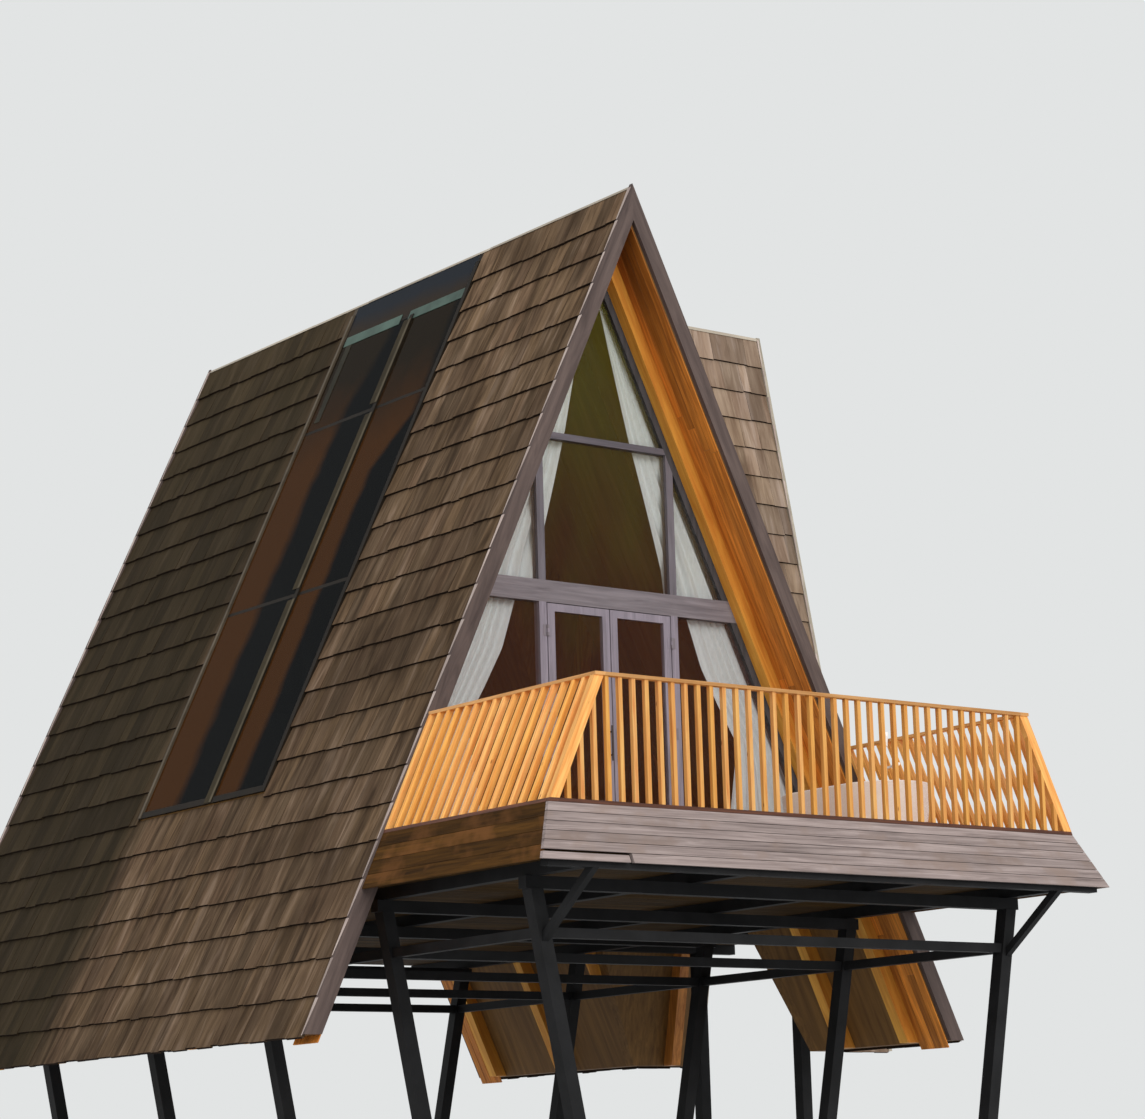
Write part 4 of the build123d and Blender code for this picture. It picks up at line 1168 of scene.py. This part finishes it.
# %% Panes
PANE_ROUGHNESS = (0.04, 0.10)
GLASS_BROWN, GLASS_OLIVE, REAR_ROOM_SHADE = srgb(96, 56, 38), srgb(124, 118, 50), srgb(46, 38, 28)
OLIVE_FROM, OLIVE_TO, OLIVE_WANDER = 2.0, 4.9, 3.6


def dust_film(tree):
    return noise(tree, cabin_spot(tree), 0.8, 3.0, 0.6)


def pane(name, colour_of, share, gloss):
    """Glass that shows by a share from 0 to 1; colour_of(tree) gives its colour."""
    material, tree, shader = new_material(name)
    tree.links.new(colour_of(tree), shader.inputs["Base Color"])
    tree.links.new(fade(tree, dust_film(tree), *PANE_ROUGHNESS), shader.inputs["Roughness"])
    shader.inputs["Alpha"].default_value = share
    shader.inputs["Specular IOR Level"].default_value = gloss
    return material


def brown_to_olive(tree):
    """Brown near the floor and olive near the ridge, in soft patches."""
    spot = cabin_spot(tree)
    patches = noise(tree, stretched(tree, spot, (2.2, 1.0, 0.7)), 1.0, 3.0, 0.6)
    lowered = maths(tree, "SUBTRACT", split_axes(tree, spot)["Z"], OLIVE_WANDER / 2)
    height = maths(tree, "MULTIPLY_ADD", patches, OLIVE_WANDER, lowered)
    share = fade(tree, height, 0.0, 1.0, deck_z + OLIVE_FROM, deck_z + OLIVE_TO)
    return mixed(tree, share, GLASS_BROWN, GLASS_OLIVE)


def dusky(tree):
    return ramp(tree, dust_film(tree), (0.35, scaled(REAR_ROOM_SHADE, 0.7)), (0.7, REAR_ROOM_SHADE))


dress(pane("gable_glass", brown_to_olive, 0.16, 0.25), "front_glass", "door_glass_left", "door_glass_right")
# The rear panes are mostly opaque, and their dark colour is painted shade of the room behind them.
dress(pane("rear_glass", dusky, 0.7, 0.5), "back_glass", "wing_glass")

# %% [markdown]
# ## The skylight glass
# A strip of glass runs from the ridge nearly to the deck. What shows in it is layered: the top sheet
# is blue grey, a painted reflection of the sky, and in each bay below it the brown lining on the far
# side shows through at the back while the front falls into the dark of the room. The dark part ends
# on a slant, lower in the front bay. Clear glass over a modelled room would need that room, so the
# colours are laid in the pane: a painted view of the lining, with painted light on it lower down,
# and painted shade for the dark of the room.

# %% Lay the skylight's colours
SKY_BAR = 3.31
SKY_JOINTS = (5.68, 4.65, 2.70)
# Painted reflection of the sky on the top sheet, then painted light and shade of the room in the bays.
TOP_SHEET_SKY_REFLECTION, TOP_SHEET_LOW = srgb(42, 46, 52), srgb(56, 48, 41)
BAY_BROWN, BAY_LIT_ORANGE, BAY_ROOM_SHADE = srgb(36, 29, 20), srgb(70, 42, 18), srgb(12, 14, 15)
BACK_SLANT, FRONT_SLANT = ((0.50, 0.74), (4.6, 5.5)), ((0.45, 0.84), (3.9, 4.4))
ORANGE_HEIGHTS, TOP_SHEET_HEIGHTS = (5.2, 4.2), (5.95, 5.78)
WANDER, SLANT_WANDER, SHEET_WANDER, SLANT_BLUR = 0.7, 0.25, 0.3, 0.06


def by_height(tree, height, shares, heights):
    """Goes from one share to the other between two heights over the deck."""
    return fade(tree, height, *shares, deck_z + heights[0], deck_z + heights[1])


def either_bay(tree, back_bay, in_front, in_back):
    return node(tree, "ShaderNodeMix", {0: back_bay, 2: in_front, 3: in_back}).outputs[0]


def past_the_slant(tree, at, wander):
    """0 where the lining shows in a bay, 1 where the dark of the room does."""
    bar = gable_y + SKY_BAR
    back_bay = maths(tree, "GREATER_THAN", at["Y"], bar)
    forwards = either_bay(tree, back_bay, fade(tree, at["Y"], 0.0, 1.0, bar, gable_y + SKYLIGHT_FROM),
                          fade(tree, at["Y"], 0.0, 1.0, gable_y + SKYLIGHT_TO, bar))
    slant = either_bay(tree, back_bay, by_height(tree, at["Z"], *FRONT_SLANT),
                       by_height(tree, at["Z"], *BACK_SLANT))
    past = maths(tree, "ADD", maths(tree, "SUBTRACT", forwards, slant),
                 maths(tree, "MULTIPLY", wander, SLANT_WANDER))
    return fade(tree, past, 0.0, 1.0, -SLANT_BLUR, SLANT_BLUR)


def bay_glass(name):
    """Glass whose look changes over each bay, from the brown of the lining to the dark of the room."""
    material, tree, shader = new_material(name)
    spot = cabin_spot(tree)
    at = split_axes(tree, spot)
    wander = maths(tree, "SUBTRACT", noise(tree, spot, 1.6, 3.0, 0.6), 0.5)
    wander = maths(tree, "MULTIPLY", wander, WANDER)
    low_share = by_height(tree, maths(tree, "ADD", at["Z"], wander), (0.0, 1.0), ORANGE_HEIGHTS)
    lining = mixed(tree, low_share, BAY_BROWN, BAY_LIT_ORANGE)
    bay = mixed(tree, past_the_slant(tree, at, wander), lining, BAY_ROOM_SHADE)
    sheet_height = maths(tree, "ADD", at["Z"], maths(tree, "MULTIPLY", wander, SHEET_WANDER))
    top = mixed(tree, by_height(tree, sheet_height, (0.0, 1.0), TOP_SHEET_HEIGHTS), TOP_SHEET_SKY_REFLECTION,
                TOP_SHEET_LOW)
    is_top = maths(tree, "GREATER_THAN", at["Z"], deck_z + SKY_JOINTS[0])
    tree.links.new(mixed(tree, is_top, bay, top), shader.inputs["Base Color"])
    shader.inputs["Alpha"].default_value = 0.9
    shader.inputs["Roughness"].default_value = 0.08
    shader.inputs["Specular IOR Level"].default_value = 0.01
    return material


dress(bay_glass("skylight_glass"), "skylight_glass")

# %% [markdown]
# ## The skylight's trims
# A worn metal cover lies over the middle bar, a flashing closes the back edge with a dark strip
# beside it, and the edge of the uppermost sheet shows the pale green of thick glass. These strips
# are a few millimetres thick. A texture could paint them, but only real strips catch light on their
# edges. One recipe serves them, and the steel and enamel further on: slow mottling in the colour,
# and fine dust in the gloss.

# %% The metal recipe and the skylight bar
SKY_MEMBER = 0.06
BAR_DARKER = (0.22, 0.20, 0.18, 1.0)


def metal(name, base, roughness, metallic=0.0, mottled=0.25, gloss=0.5):
    """Coated or bare metal with slow mottling and fine dust."""
    material, tree, shader = new_material(name)
    slow = noise(tree, cabin_spot(tree), 3.0, 4.0, 0.6)
    fine = noise(tree, cabin_spot(tree), 90.0, 2.0, 0.6)
    stops = (0.35, scaled(base, 1 - mottled)), (0.7, scaled(base, 1 + mottled))
    tree.links.new(ramp(tree, slow, *stops), shader.inputs["Base Color"])
    tree.links.new(fade(tree, fine, roughness - 0.06, roughness + 0.1), shader.inputs["Roughness"])
    bump(tree, shader, fine, 0.15, 0.001)
    shader.inputs["Metallic"].default_value = metallic
    shader.inputs["Specular IOR Level"].default_value = gloss
    return material


def ahead_of_back_bar(tree):
    back_bar = gable_y + SKYLIGHT_TO - SKY_MEMBER
    return maths(tree, "LESS_THAN", split_axes(tree, cabin_spot(tree))["Y"], back_bar - 0.001)


sky_frame = metal("skylight_bar", srgb(72, 63, 52), 0.5, gloss=0.08)
blend_finish(sky_frame, ahead_of_back_bar, BAR_DARKER)
dress(sky_frame, "skylight_frame")

# %% [markdown]
# ## Strips on the glass
# Each strip is a place along the roof, from and to, with a lift off the glass and a thickness of
# sheet. The cover is in three lengths, because the joints between the sheets of glass interrupt it.

# %% Lay the strips
Strip = namedtuple("Strip", "start stop lift sheet")
COVER = Strip(SKY_BAR - 0.015, SKY_BAR + 0.105, 0.015, 0.003)
COVER_RIDGE = Strip(SKY_BAR - 0.025, SKY_BAR + 0.012, 0.018, 0.003)
BACK_FLASHING = Strip(SKYLIGHT_TO - 0.050, SKYLIGHT_TO - 0.022, 0.015, 0.006)
INNER_STRIP = Strip(SKYLIGHT_TO - 0.26, SKYLIGHT_TO - 0.16, 0.001, 0.004)
FRONT_EDGE = Strip(SKYLIGHT_FROM + 0.06, SKY_BAR + 0.07, 0.001, 0.005)
BACK_EDGE = Strip(SKY_BAR + 0.22, SKYLIGHT_TO - 0.10, 0.001, 0.005)
TRIM_TOP, BAND_HALF, INNER_FOOT = 0.14, 0.055, 4.75


def lay_strips(name, material, strips, heights):
    """Flat strips on the skylight, each laid between every pair of heights, a high and a low one."""
    boards = Boards(71)
    for strip in strips:
        for z_high, z_low in heights:
            high, low = (RIDGE_HEIGHT - z_high) / roof_cos, (RIDGE_HEIGHT - z_low) / roof_cos
            ring = ((high, strip.start), (low, strip.start), (low, strip.stop), (high, strip.stop))
            boards.add(flat_on_slope(roof_slopes[LEFT], ring, strip.lift, strip.lift + strip.sheet))
    boards.make(name, material, bevel=0.001)


sky_foot = RIDGE_HEIGHT - SKYLIGHT_FOOT * roof_cos
sky_head = RIDGE_HEIGHT - TRIM_TOP * roof_cos
joint_tops = [z - BAND_HALF for z in SKY_JOINTS]
bays = list(zip(joint_tops, [z + BAND_HALF for z in SKY_JOINTS[1:]] + [sky_foot]))
sheet_edge = [(SKY_JOINTS[0] + BAND_HALF, SKY_JOINTS[0] - BAND_HALF)]
worn = dict(mottled=0.3, gloss=0.08)
lay_strips("skylight_bar_cover", metal("worn_cover", srgb(58, 50, 34), 0.6, **worn),
           [COVER], bays)
lay_strips("skylight_bar_ridge", metal("worn_edge", srgb(88, 79, 62), 0.5, **worn),
           [COVER_RIDGE], bays)
lay_strips("skylight_flashings", metal("skylight_flashing", srgb(96, 86, 72), 0.5, gloss=0.08),
           [BACK_FLASHING], [(sky_head, sky_foot)])
lay_strips("skylight_inner_strip", metal("inner_strip", srgb(48, 45, 36), 0.6, **worn),
           [INNER_STRIP], [(joint_tops[0], INNER_FOOT)])
lay_strips("skylight_glass_edges", metal("glass_edge_green", srgb(74, 94, 84), 0.35, **worn),
           [FRONT_EDGE, BACK_EDGE], sheet_edge)

# %% [markdown]
# ## Steel
# The posts and beams under the deck are painted near black. They are plain bars in the frame, and
# the eye expects bolts where a post is fixed down, so short hexagonal heads are set out by rule,
# four to a base plate. A cone with six sides and a slightly smaller top makes a head. All of them
# are gathered in one mesh, and their places are worked out from the frame: the posts along the cabin
# lean outwards by one in five, so their feet stand further in than their tops.

# %% Steel finish and bolts
UPWARDS = Vector((0, 0, 1))
POST_ROWS = (-1.7, 0.4, 2.5, 4.6, 6.7)
POST_HALF, POST_LEAN, PLATE_THICKNESS, PLATE_HALF = 0.06, 0.2, 0.016, 0.13
WING_POST_OFFSET = 0.8
BOLT_RADIUS, BOLT_TAPER, BOLT_HEIGHT, BOLT_OFFSET = 0.013, 0.92, 0.014, 0.095

dress(metal("black_steel", srgb(28, 28, 29), 0.55, mottled=0.3, gloss=0.15), "steel_long_beams",
      "steel_cross_beams", "steel_posts", "post_bracing")
posts_from, posts_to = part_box("steel_posts")
post_top_x = centre_x - posts_from.x - POST_HALF
post_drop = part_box("steel_cross_beams")[0].z - PLATE_THICKNESS
post_foot_x = post_top_x - POST_LEAN * post_drop
wing_foot_x = posts_to.x - centre_x - PLATE_HALF


def bolt_heads(name, spots, facing, material):
    """Six-sided heads, all in one mesh, each standing on a spot."""
    turn = facing.to_track_quat("Z", "Y").to_matrix().to_4x4()
    work = bmesh.new()
    for spot in spots:
        here = Matrix.Translation(spot + facing * BOLT_HEIGHT / 2) @ turn
        bmesh.ops.create_cone(work, cap_ends=True, segments=6, radius1=BOLT_RADIUS,
                              radius2=BOLT_RADIUS * BOLT_TAPER, depth=BOLT_HEIGHT, matrix=here)
    mesh = bpy.data.meshes.new(name)
    work.to_mesh(mesh)
    work.free()
    finish_piece(name, mesh, material)


feet = [(side * post_foot_x, y) for side in (LEFT, RIGHT) for y in POST_ROWS]
feet += [(wing_foot_x, WING_RIDGE_Y + side * WING_POST_OFFSET) for side in (LEFT, RIGHT)]
plate_top = PLATE_THICKNESS - deck_z
plate_bolts = [place(x + dx * BOLT_OFFSET, y + dy * BOLT_OFFSET, plate_top)
               for x, y in feet for dx in (-1, 1) for dy in (-1, 1)]
bolt_heads("base_plate_bolts", plate_bolts, UPWARDS, metal("bolt_zinc", srgb(120, 120, 118), 0.45, 0.6))

# %% [markdown]
# ## Curtains
# Four lengths of voile hang behind the gable glass and are drawn back to follow the slopes. The lower
# two are tied back a little above the rail and spread again below the tie. A cloth simulation could
# hang them, but would come out differently after each change. Gathered cloth keeps its area: it
# folds instead of shrinking. So the width that it takes up is set by a few marks, the folds are a
# smooth wave across it, and the flat size of the cloth is then measured along the wave.

# %% The cloth and its folds
CURTAIN_EDGE = 0.30
CURTAIN_Y = (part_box("upper_curtains")[0].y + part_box("upper_curtains")[1].y) / 2 - gable_y
FINE_RIPPLE = 0.16


def voile(name, base):
    """Thin white cloth: a soft slub in its colour, a close weave in its relief and a little sheen."""
    material, tree, shader = new_material(name)
    spot = cabin_spot(tree)
    values = {"Vector": spot, "Scale": 220.0, "Distortion": 1.5, "Detail": 2.0}
    warp = node(tree, "ShaderNodeTexWave", values, bands_direction="Z").outputs["Fac"]
    slub = noise(tree, stretched(tree, spot, (60, 60, 6)), 1.0, 3.0, 0.6)
    tree.links.new(ramp(tree, slub, (0.3, scaled(base, 0.86)), (0.7, base)), shader.inputs["Base Color"])
    bump(tree, shader, warp, 0.15, 0.0005)
    shader.inputs["Roughness"].default_value = 0.9
    shader.inputs["Sheen Weight"].default_value = 0.2
    return material


def between(z, marks):
    """Straight interpolation through a few measured marks, each a height and a place."""
    marks = sorted(marks)
    for (z0, x0), (z1, x1) in zip(marks[:-1], marks[1:]):
        if z <= z1:
            return x0 + (x1 - x0) * max(0.0, (z - z0) / (z1 - z0))
    return marks[-1][1]


def fold_wave(share, z, folds, phases):
    """The wave of the folds at a share of the width: uneven folds that wander as they fall, and a
    finer ripple over them."""
    bend = share + 0.03 * math.sin(math.tau * 1.3 * share + phases[0])
    wave = math.sin(math.tau * folds * bend + 0.5 * math.sin(2.2 * z + phases[1]))
    return wave + FINE_RIPPLE * math.sin(math.tau * (folds * 2 + 1) * share + phases[2])


curtain_cloth = voile("curtain_voile", srgb(240, 248, 248))
print("curtains hang", round(CURTAIN_Y, 3), "m behind the front of the gable")

# %% [markdown]
# ## Hang the four lengths
# Each length is a grid of points, row by row from the top. Where the width is narrow the folds are
# also shallower, so the cloth never doubles over itself. The marks are heights over the deck, each
# with the distance of the inner hem from the middle of the gable.

# %% Hang the curtains
FOLD_HEIGHT, FOLD_SHARE = 0.031, 0.20
CLOTH_ROWS, STEPS_TO_A_FOLD = 60, 16
UPPER_TOP, UPPER_FOOT, UPPER_FOLDS = 5.25, 2.35, 4
LOWER_TOP, LOWER_FOOT, LOWER_FOLDS = 2.33, 0.012, 6
UPPER_MARKS = ((5.25, 0.05), (3.9, 0.37), (2.68, 0.72), (2.35, 0.76))
LOWER_MARKS = ((2.33, 0.96), (1.8, 1.14), (1.4, 1.36), (1.14, 1.52), (0.9, 1.50), (0.47, 1.42), (0.0, 1.37))


def hang_curtain(name, side, z_top, z_foot, inner_marks, folds, node_name, seed):
    chance = random.Random(seed)
    phases = [chance.uniform(0, math.tau) for _ in range(3)]
    columns = folds * STEPS_TO_A_FOLD
    points, row_lengths = [], []
    for r in range(CLOTH_ROWS + 1):
        z = z_top + (z_foot - z_top) * r / CLOTH_ROWS
        outer = roof_x(z, CURTAIN_EDGE)
        width = outer - between(z, inner_marks)
        height = min(FOLD_HEIGHT, FOLD_SHARE * width / folds)
        row = []
        for c in range(columns + 1):
            share = c / columns
            forward = height * fold_wave(share, z, folds, phases) / (1 + FINE_RIPPLE)
            row.append(place(side * (outer - width * share), CURTAIN_Y + forward, z))
        row_lengths.append(sum((b - a).length for a, b in zip(row[:-1], row[1:])))
        points += row
    step = columns + 1
    corners = [r * step + c for r in range(CLOTH_ROWS) for c in range(columns)]
    faces = [(a, a + 1, a + step + 1, a + step) for a in corners]
    mesh = bpy.data.meshes.new(name)
    mesh.from_pydata([tuple(p) for p in points], [], faces)
    mesh.polygons.foreach_set("use_smooth", [True] * len(faces))
    piece = finish_piece(name, mesh, curtain_cloth, replaces=(node_name,))


for side, word in ((LEFT, "left"), (RIGHT, "right")):
    hang_curtain(f"curtain_upper_{word}", side, UPPER_TOP, UPPER_FOOT, UPPER_MARKS, UPPER_FOLDS,
                 "upper_curtains", 81 + side)
    hang_curtain(f"curtain_lower_{word}", side, LOWER_TOP, LOWER_FOOT, LOWER_MARKS, LOWER_FOLDS,
                 "lower_curtains", 91 + side)

# %% [markdown]
# ## The tub filler
# Beside the tub stands a slim white filler: a foot, a riser with its valve, a spout over the rim and
# a hand shower parked in a cradle at the top. All of it is turned work. It could be built up from
# cylinders, but each step and collar would be one more of them, so each part is a short list of
# places along its axis and radii, spun round. The foot and the riser stand where the solid filler of
# the frame stands.

# %% A helper that turns, and the filler's profiles
TURNED_SIDES = 20
FILLER_SPOT = (roof_x(0.0) - 0.622, -0.600)
SPOUT_HEIGHT, SPOUT_TURN, SPOUT_LENGTH = 0.765, math.radians(250), 0.330
CRADLE_HEIGHT, CRADLE_REACH = 1.010, 0.034
RISER_PROFILE = ((0.0, 0.045), (0.010, 0.045), (0.014, 0.042), (0.016, 0.018), (0.020, 0.014),
                 (0.715, 0.014), (0.718, 0.021), (0.722, 0.023), (0.806, 0.023), (0.810, 0.021),
                 (0.813, 0.012), (0.985, 0.012), (0.988, 0.017), (1.030, 0.017), (1.034, 0.012))
SPOUT_PROFILE = ((0.0, 0.013), (0.030, 0.013), (0.034, 0.011), (SPOUT_LENGTH - 0.014, 0.011),
                 (SPOUT_LENGTH - 0.012, 0.014), (SPOUT_LENGTH, 0.014))
VALVE_PROFILE = ((0.0, 0.010), (0.040, 0.010), (0.042, 0.015), (0.056, 0.015), (0.059, 0.012))
CRADLE_PROFILE = ((0.0, 0.008), (CRADLE_REACH, 0.008))
SHOWER_PROFILE = ((-0.040, 0.010), (-0.034, 0.013), (0.010, 0.015), (0.050, 0.021), (0.088, 0.023),
                  (0.096, 0.019))


def turned(work, base, axis, profile):
    """Spins a profile of places along an axis and radii, and closes both ends."""
    turn = axis.to_track_quat("Z", "Y")
    angles = [math.tau * i / TURNED_SIDES for i in range(TURNED_SIDES)]
    rings = [[work.verts.new(base + turn @ Vector((radius * math.cos(a), radius * math.sin(a), along)))
              for a in angles] for along, radius in profile]
    for one, other in zip(rings[:-1], rings[1:]):
        for i in range(TURNED_SIDES):
            j = (i + 1) % TURNED_SIDES
            work.faces.new((one[i], one[j], other[j], other[i])).smooth = True
    work.faces.new(rings[0][::-1])
    work.faces.new(rings[-1])


print("filler stands", CRADLE_HEIGHT + SHOWER_PROFILE[-1][0], "m high")

# %% [markdown]
# ## Stand the filler
# The five parts share one mesh. A boolean could weld them, but where one meets another its end is
# simply buried in it, as a fitting is screwed in, so no seam shows and the profiles stay clean.

# %% Turn the filler
SIDEWAYS = Vector((1, 0, 0))
filler_foot = place(*FILLER_SPOT, 0.0)
spout_root = filler_foot + SPOUT_HEIGHT * UPWARDS
spout_way = Vector((math.cos(SPOUT_TURN), math.sin(SPOUT_TURN), 0))
cradle_root = filler_foot + CRADLE_HEIGHT * UPWARDS
filler = bmesh.new()
for base, axis, profile in ((filler_foot, UPWARDS, RISER_PROFILE),
                            (spout_root, spout_way, SPOUT_PROFILE),
                            (spout_root, -spout_way, VALVE_PROFILE),
                            (cradle_root, SIDEWAYS, CRADLE_PROFILE),
                            (cradle_root + CRADLE_REACH * SIDEWAYS, UPWARDS, SHOWER_PROFILE)):
    turned(filler, base, axis, profile)
filler_mesh = bpy.data.meshes.new("filler_turned")
filler.to_mesh(filler_mesh)
filler.free()
finish_piece("filler_turned", filler_mesh, metal("filler_white", srgb(246, 243, 238), 0.2, mottled=0.03),
             replaces=("tub_filler",))

# %% [markdown]
# ## Tub and ironmongery
# The tub is a smooth warm white shell. The door handles are dark bronze and the hinges are painted
# with the frame. The frame holds their true shapes, so nothing is modelled over them, and the metal
# recipe with little mottling gives all three.

# %% Smooth finishes
dress(metal("tub_enamel", srgb(254, 240, 230), 0.25, mottled=0.03), "deck_tub")
dress(metal("hinge_grey", srgb(120, 112, 118), 0.45, mottled=0.1), "hinge_pins")
dress(metal("dark_bronze", srgb(62, 50, 46), 0.4, 0.5, 0.1), "door_handle_left", "door_handle_right")

# %% [markdown]
# ## Camera
# The view is from the slope below the deck, looking up: about 37 degrees round to the left of the
# gable and 12 degrees up, from 27 metres off with a long lens. The horizon leans by a degree and a
# half, as a hand-held camera's does, so the roll is part of the match. A constraint that tracks a
# target could aim the camera but not roll it, so its three directions are worked out and set.

# %% Set the camera
VIEW_AZIMUTH, VIEW_LIFT, VIEW_ROLL = math.radians(-37.307), math.radians(-11.621), math.radians(-1.634)
FOCAL_PIXELS, IMAGE_WIDTH, SENSOR = 3086.0, 1145.0, 36.0
CAMERA_AT = (-16.984, -21.215, -2.967)
FARTHEST_SEEN = 2500.0
back = Vector((math.sin(VIEW_AZIMUTH) * math.cos(VIEW_LIFT), -math.cos(VIEW_AZIMUTH) * math.cos(VIEW_LIFT),
               math.sin(VIEW_LIFT)))
level = (-back).cross(UPWARDS).normalized()
top = level.cross(-back)
right = math.cos(VIEW_ROLL) * level + math.sin(VIEW_ROLL) * top
upward = -math.sin(VIEW_ROLL) * level + math.cos(VIEW_ROLL) * top
camera_data = bpy.data.cameras.new("view")
camera_data.sensor_width = SENSOR
camera_data.lens = FOCAL_PIXELS * SENSOR / IMAGE_WIDTH
camera_data.clip_end = FARTHEST_SEEN
camera = bpy.data.objects.new("view", camera_data)
bpy.context.scene.collection.objects.link(camera)
turn = Matrix((right, upward, back)).transposed().to_4x4()
camera.matrix_world = Matrix.Translation(place(*CAMERA_AT)) @ turn
bpy.context.scene.camera = camera
print("camera at", [round(v, 3) for v in camera.matrix_world.translation])

# %% [markdown]
# ## A plain studio
# A pale floor runs out to a pale surround. The surround has two brightnesses: one for the camera and
# for what mirrors it, which can be nearly white, and a dimmer one for the light that it gives, so
# that it doesn't wash out the timber. The light path node tells the two apart.

# %% Floor and surround
FLOOR_REACH = 900.0
SURROUND_LIGHT = 0.66
floor_material, _, floor_shader = new_material("studio_pale")
floor_shader.inputs["Base Color"].default_value = srgb(236, 236, 234)
floor_shader.inputs["Roughness"].default_value = 0.9
floor_mesh = bpy.data.meshes.new("studio_floor")
floor_ring = [(x * FLOOR_REACH, y * FLOOR_REACH, 0) for x, y in ((-1, -1), (1, -1), (1, 1), (-1, 1))]
floor_mesh.from_pydata(floor_ring, [], [(0, 1, 2, 3)])
floor_mesh.materials.append(floor_material)
studio_floor = bpy.data.objects.new("studio_floor", floor_mesh)
bpy.context.scene.collection.objects.link(studio_floor)

world = bpy.data.worlds.new("studio_surround")
world.use_nodes = True
bpy.context.scene.world = world
around = world.node_tree
for old in list(around.nodes):
    around.nodes.remove(old)
rays = node(around, "ShaderNodeLightPath").outputs
seen = maths(around, "MAXIMUM", maths(around, "MAXIMUM", rays["Is Camera Ray"], rays["Is Glossy Ray"]),
             rays["Is Transmission Ray"])
light_part = node(around, "ShaderNodeBackground", {"Color": srgb(236, 240, 246), "Strength": SURROUND_LIGHT})
seen_part = node(around, "ShaderNodeBackground", {"Color": srgb(226, 228, 228), "Strength": 1.0})
both = node(around, "ShaderNodeMixShader", {0: seen, 1: light_part.outputs[0], 2: seen_part.outputs[0]})
node(around, "ShaderNodeOutputWorld", {"Surface": both.outputs[0]})
print("surround lights at", SURROUND_LIGHT, "of what is seen of it")

# %% [markdown]
# ## Light
# The light is that of a bright overcast day, so both lamps are broad suns with soft edges. Area
# lights would have to be huge to reach every part of a cabin alike. The key comes from the front,
# about twenty degrees up, and gives the boards their modelling. A weaker and still softer fill comes
# in low from the left.

# %% Set the lights
KEY_WAY, KEY_SPREAD = (0.10, 0.90, -0.34), 30
FILL_WAY, FILL_SPREAD = (0.95, 0.28, -0.12), 60


def soft_sun(name, strength, colour, direction, spread):
    """A sun that shines along a direction; its spread is in degrees."""
    data = bpy.data.lights.new(name, "SUN")
    data.energy = strength
    data.color = colour
    data.angle = math.radians(spread)
    lamp = bpy.data.objects.new(name, data)
    lamp.rotation_euler = Vector(direction).to_track_quat("-Z", "Y").to_euler()
    bpy.context.scene.collection.objects.link(lamp)
    print(name, "light at strength", strength)


soft_sun("key", 1.65, (1.0, 0.98, 0.95), KEY_WAY, KEY_SPREAD)
soft_sun("fill", 0.8, (1.0, 0.97, 0.93), FILL_WAY, FILL_SPREAD)
bpy.context.scene.view_settings.view_transform = "Standard"
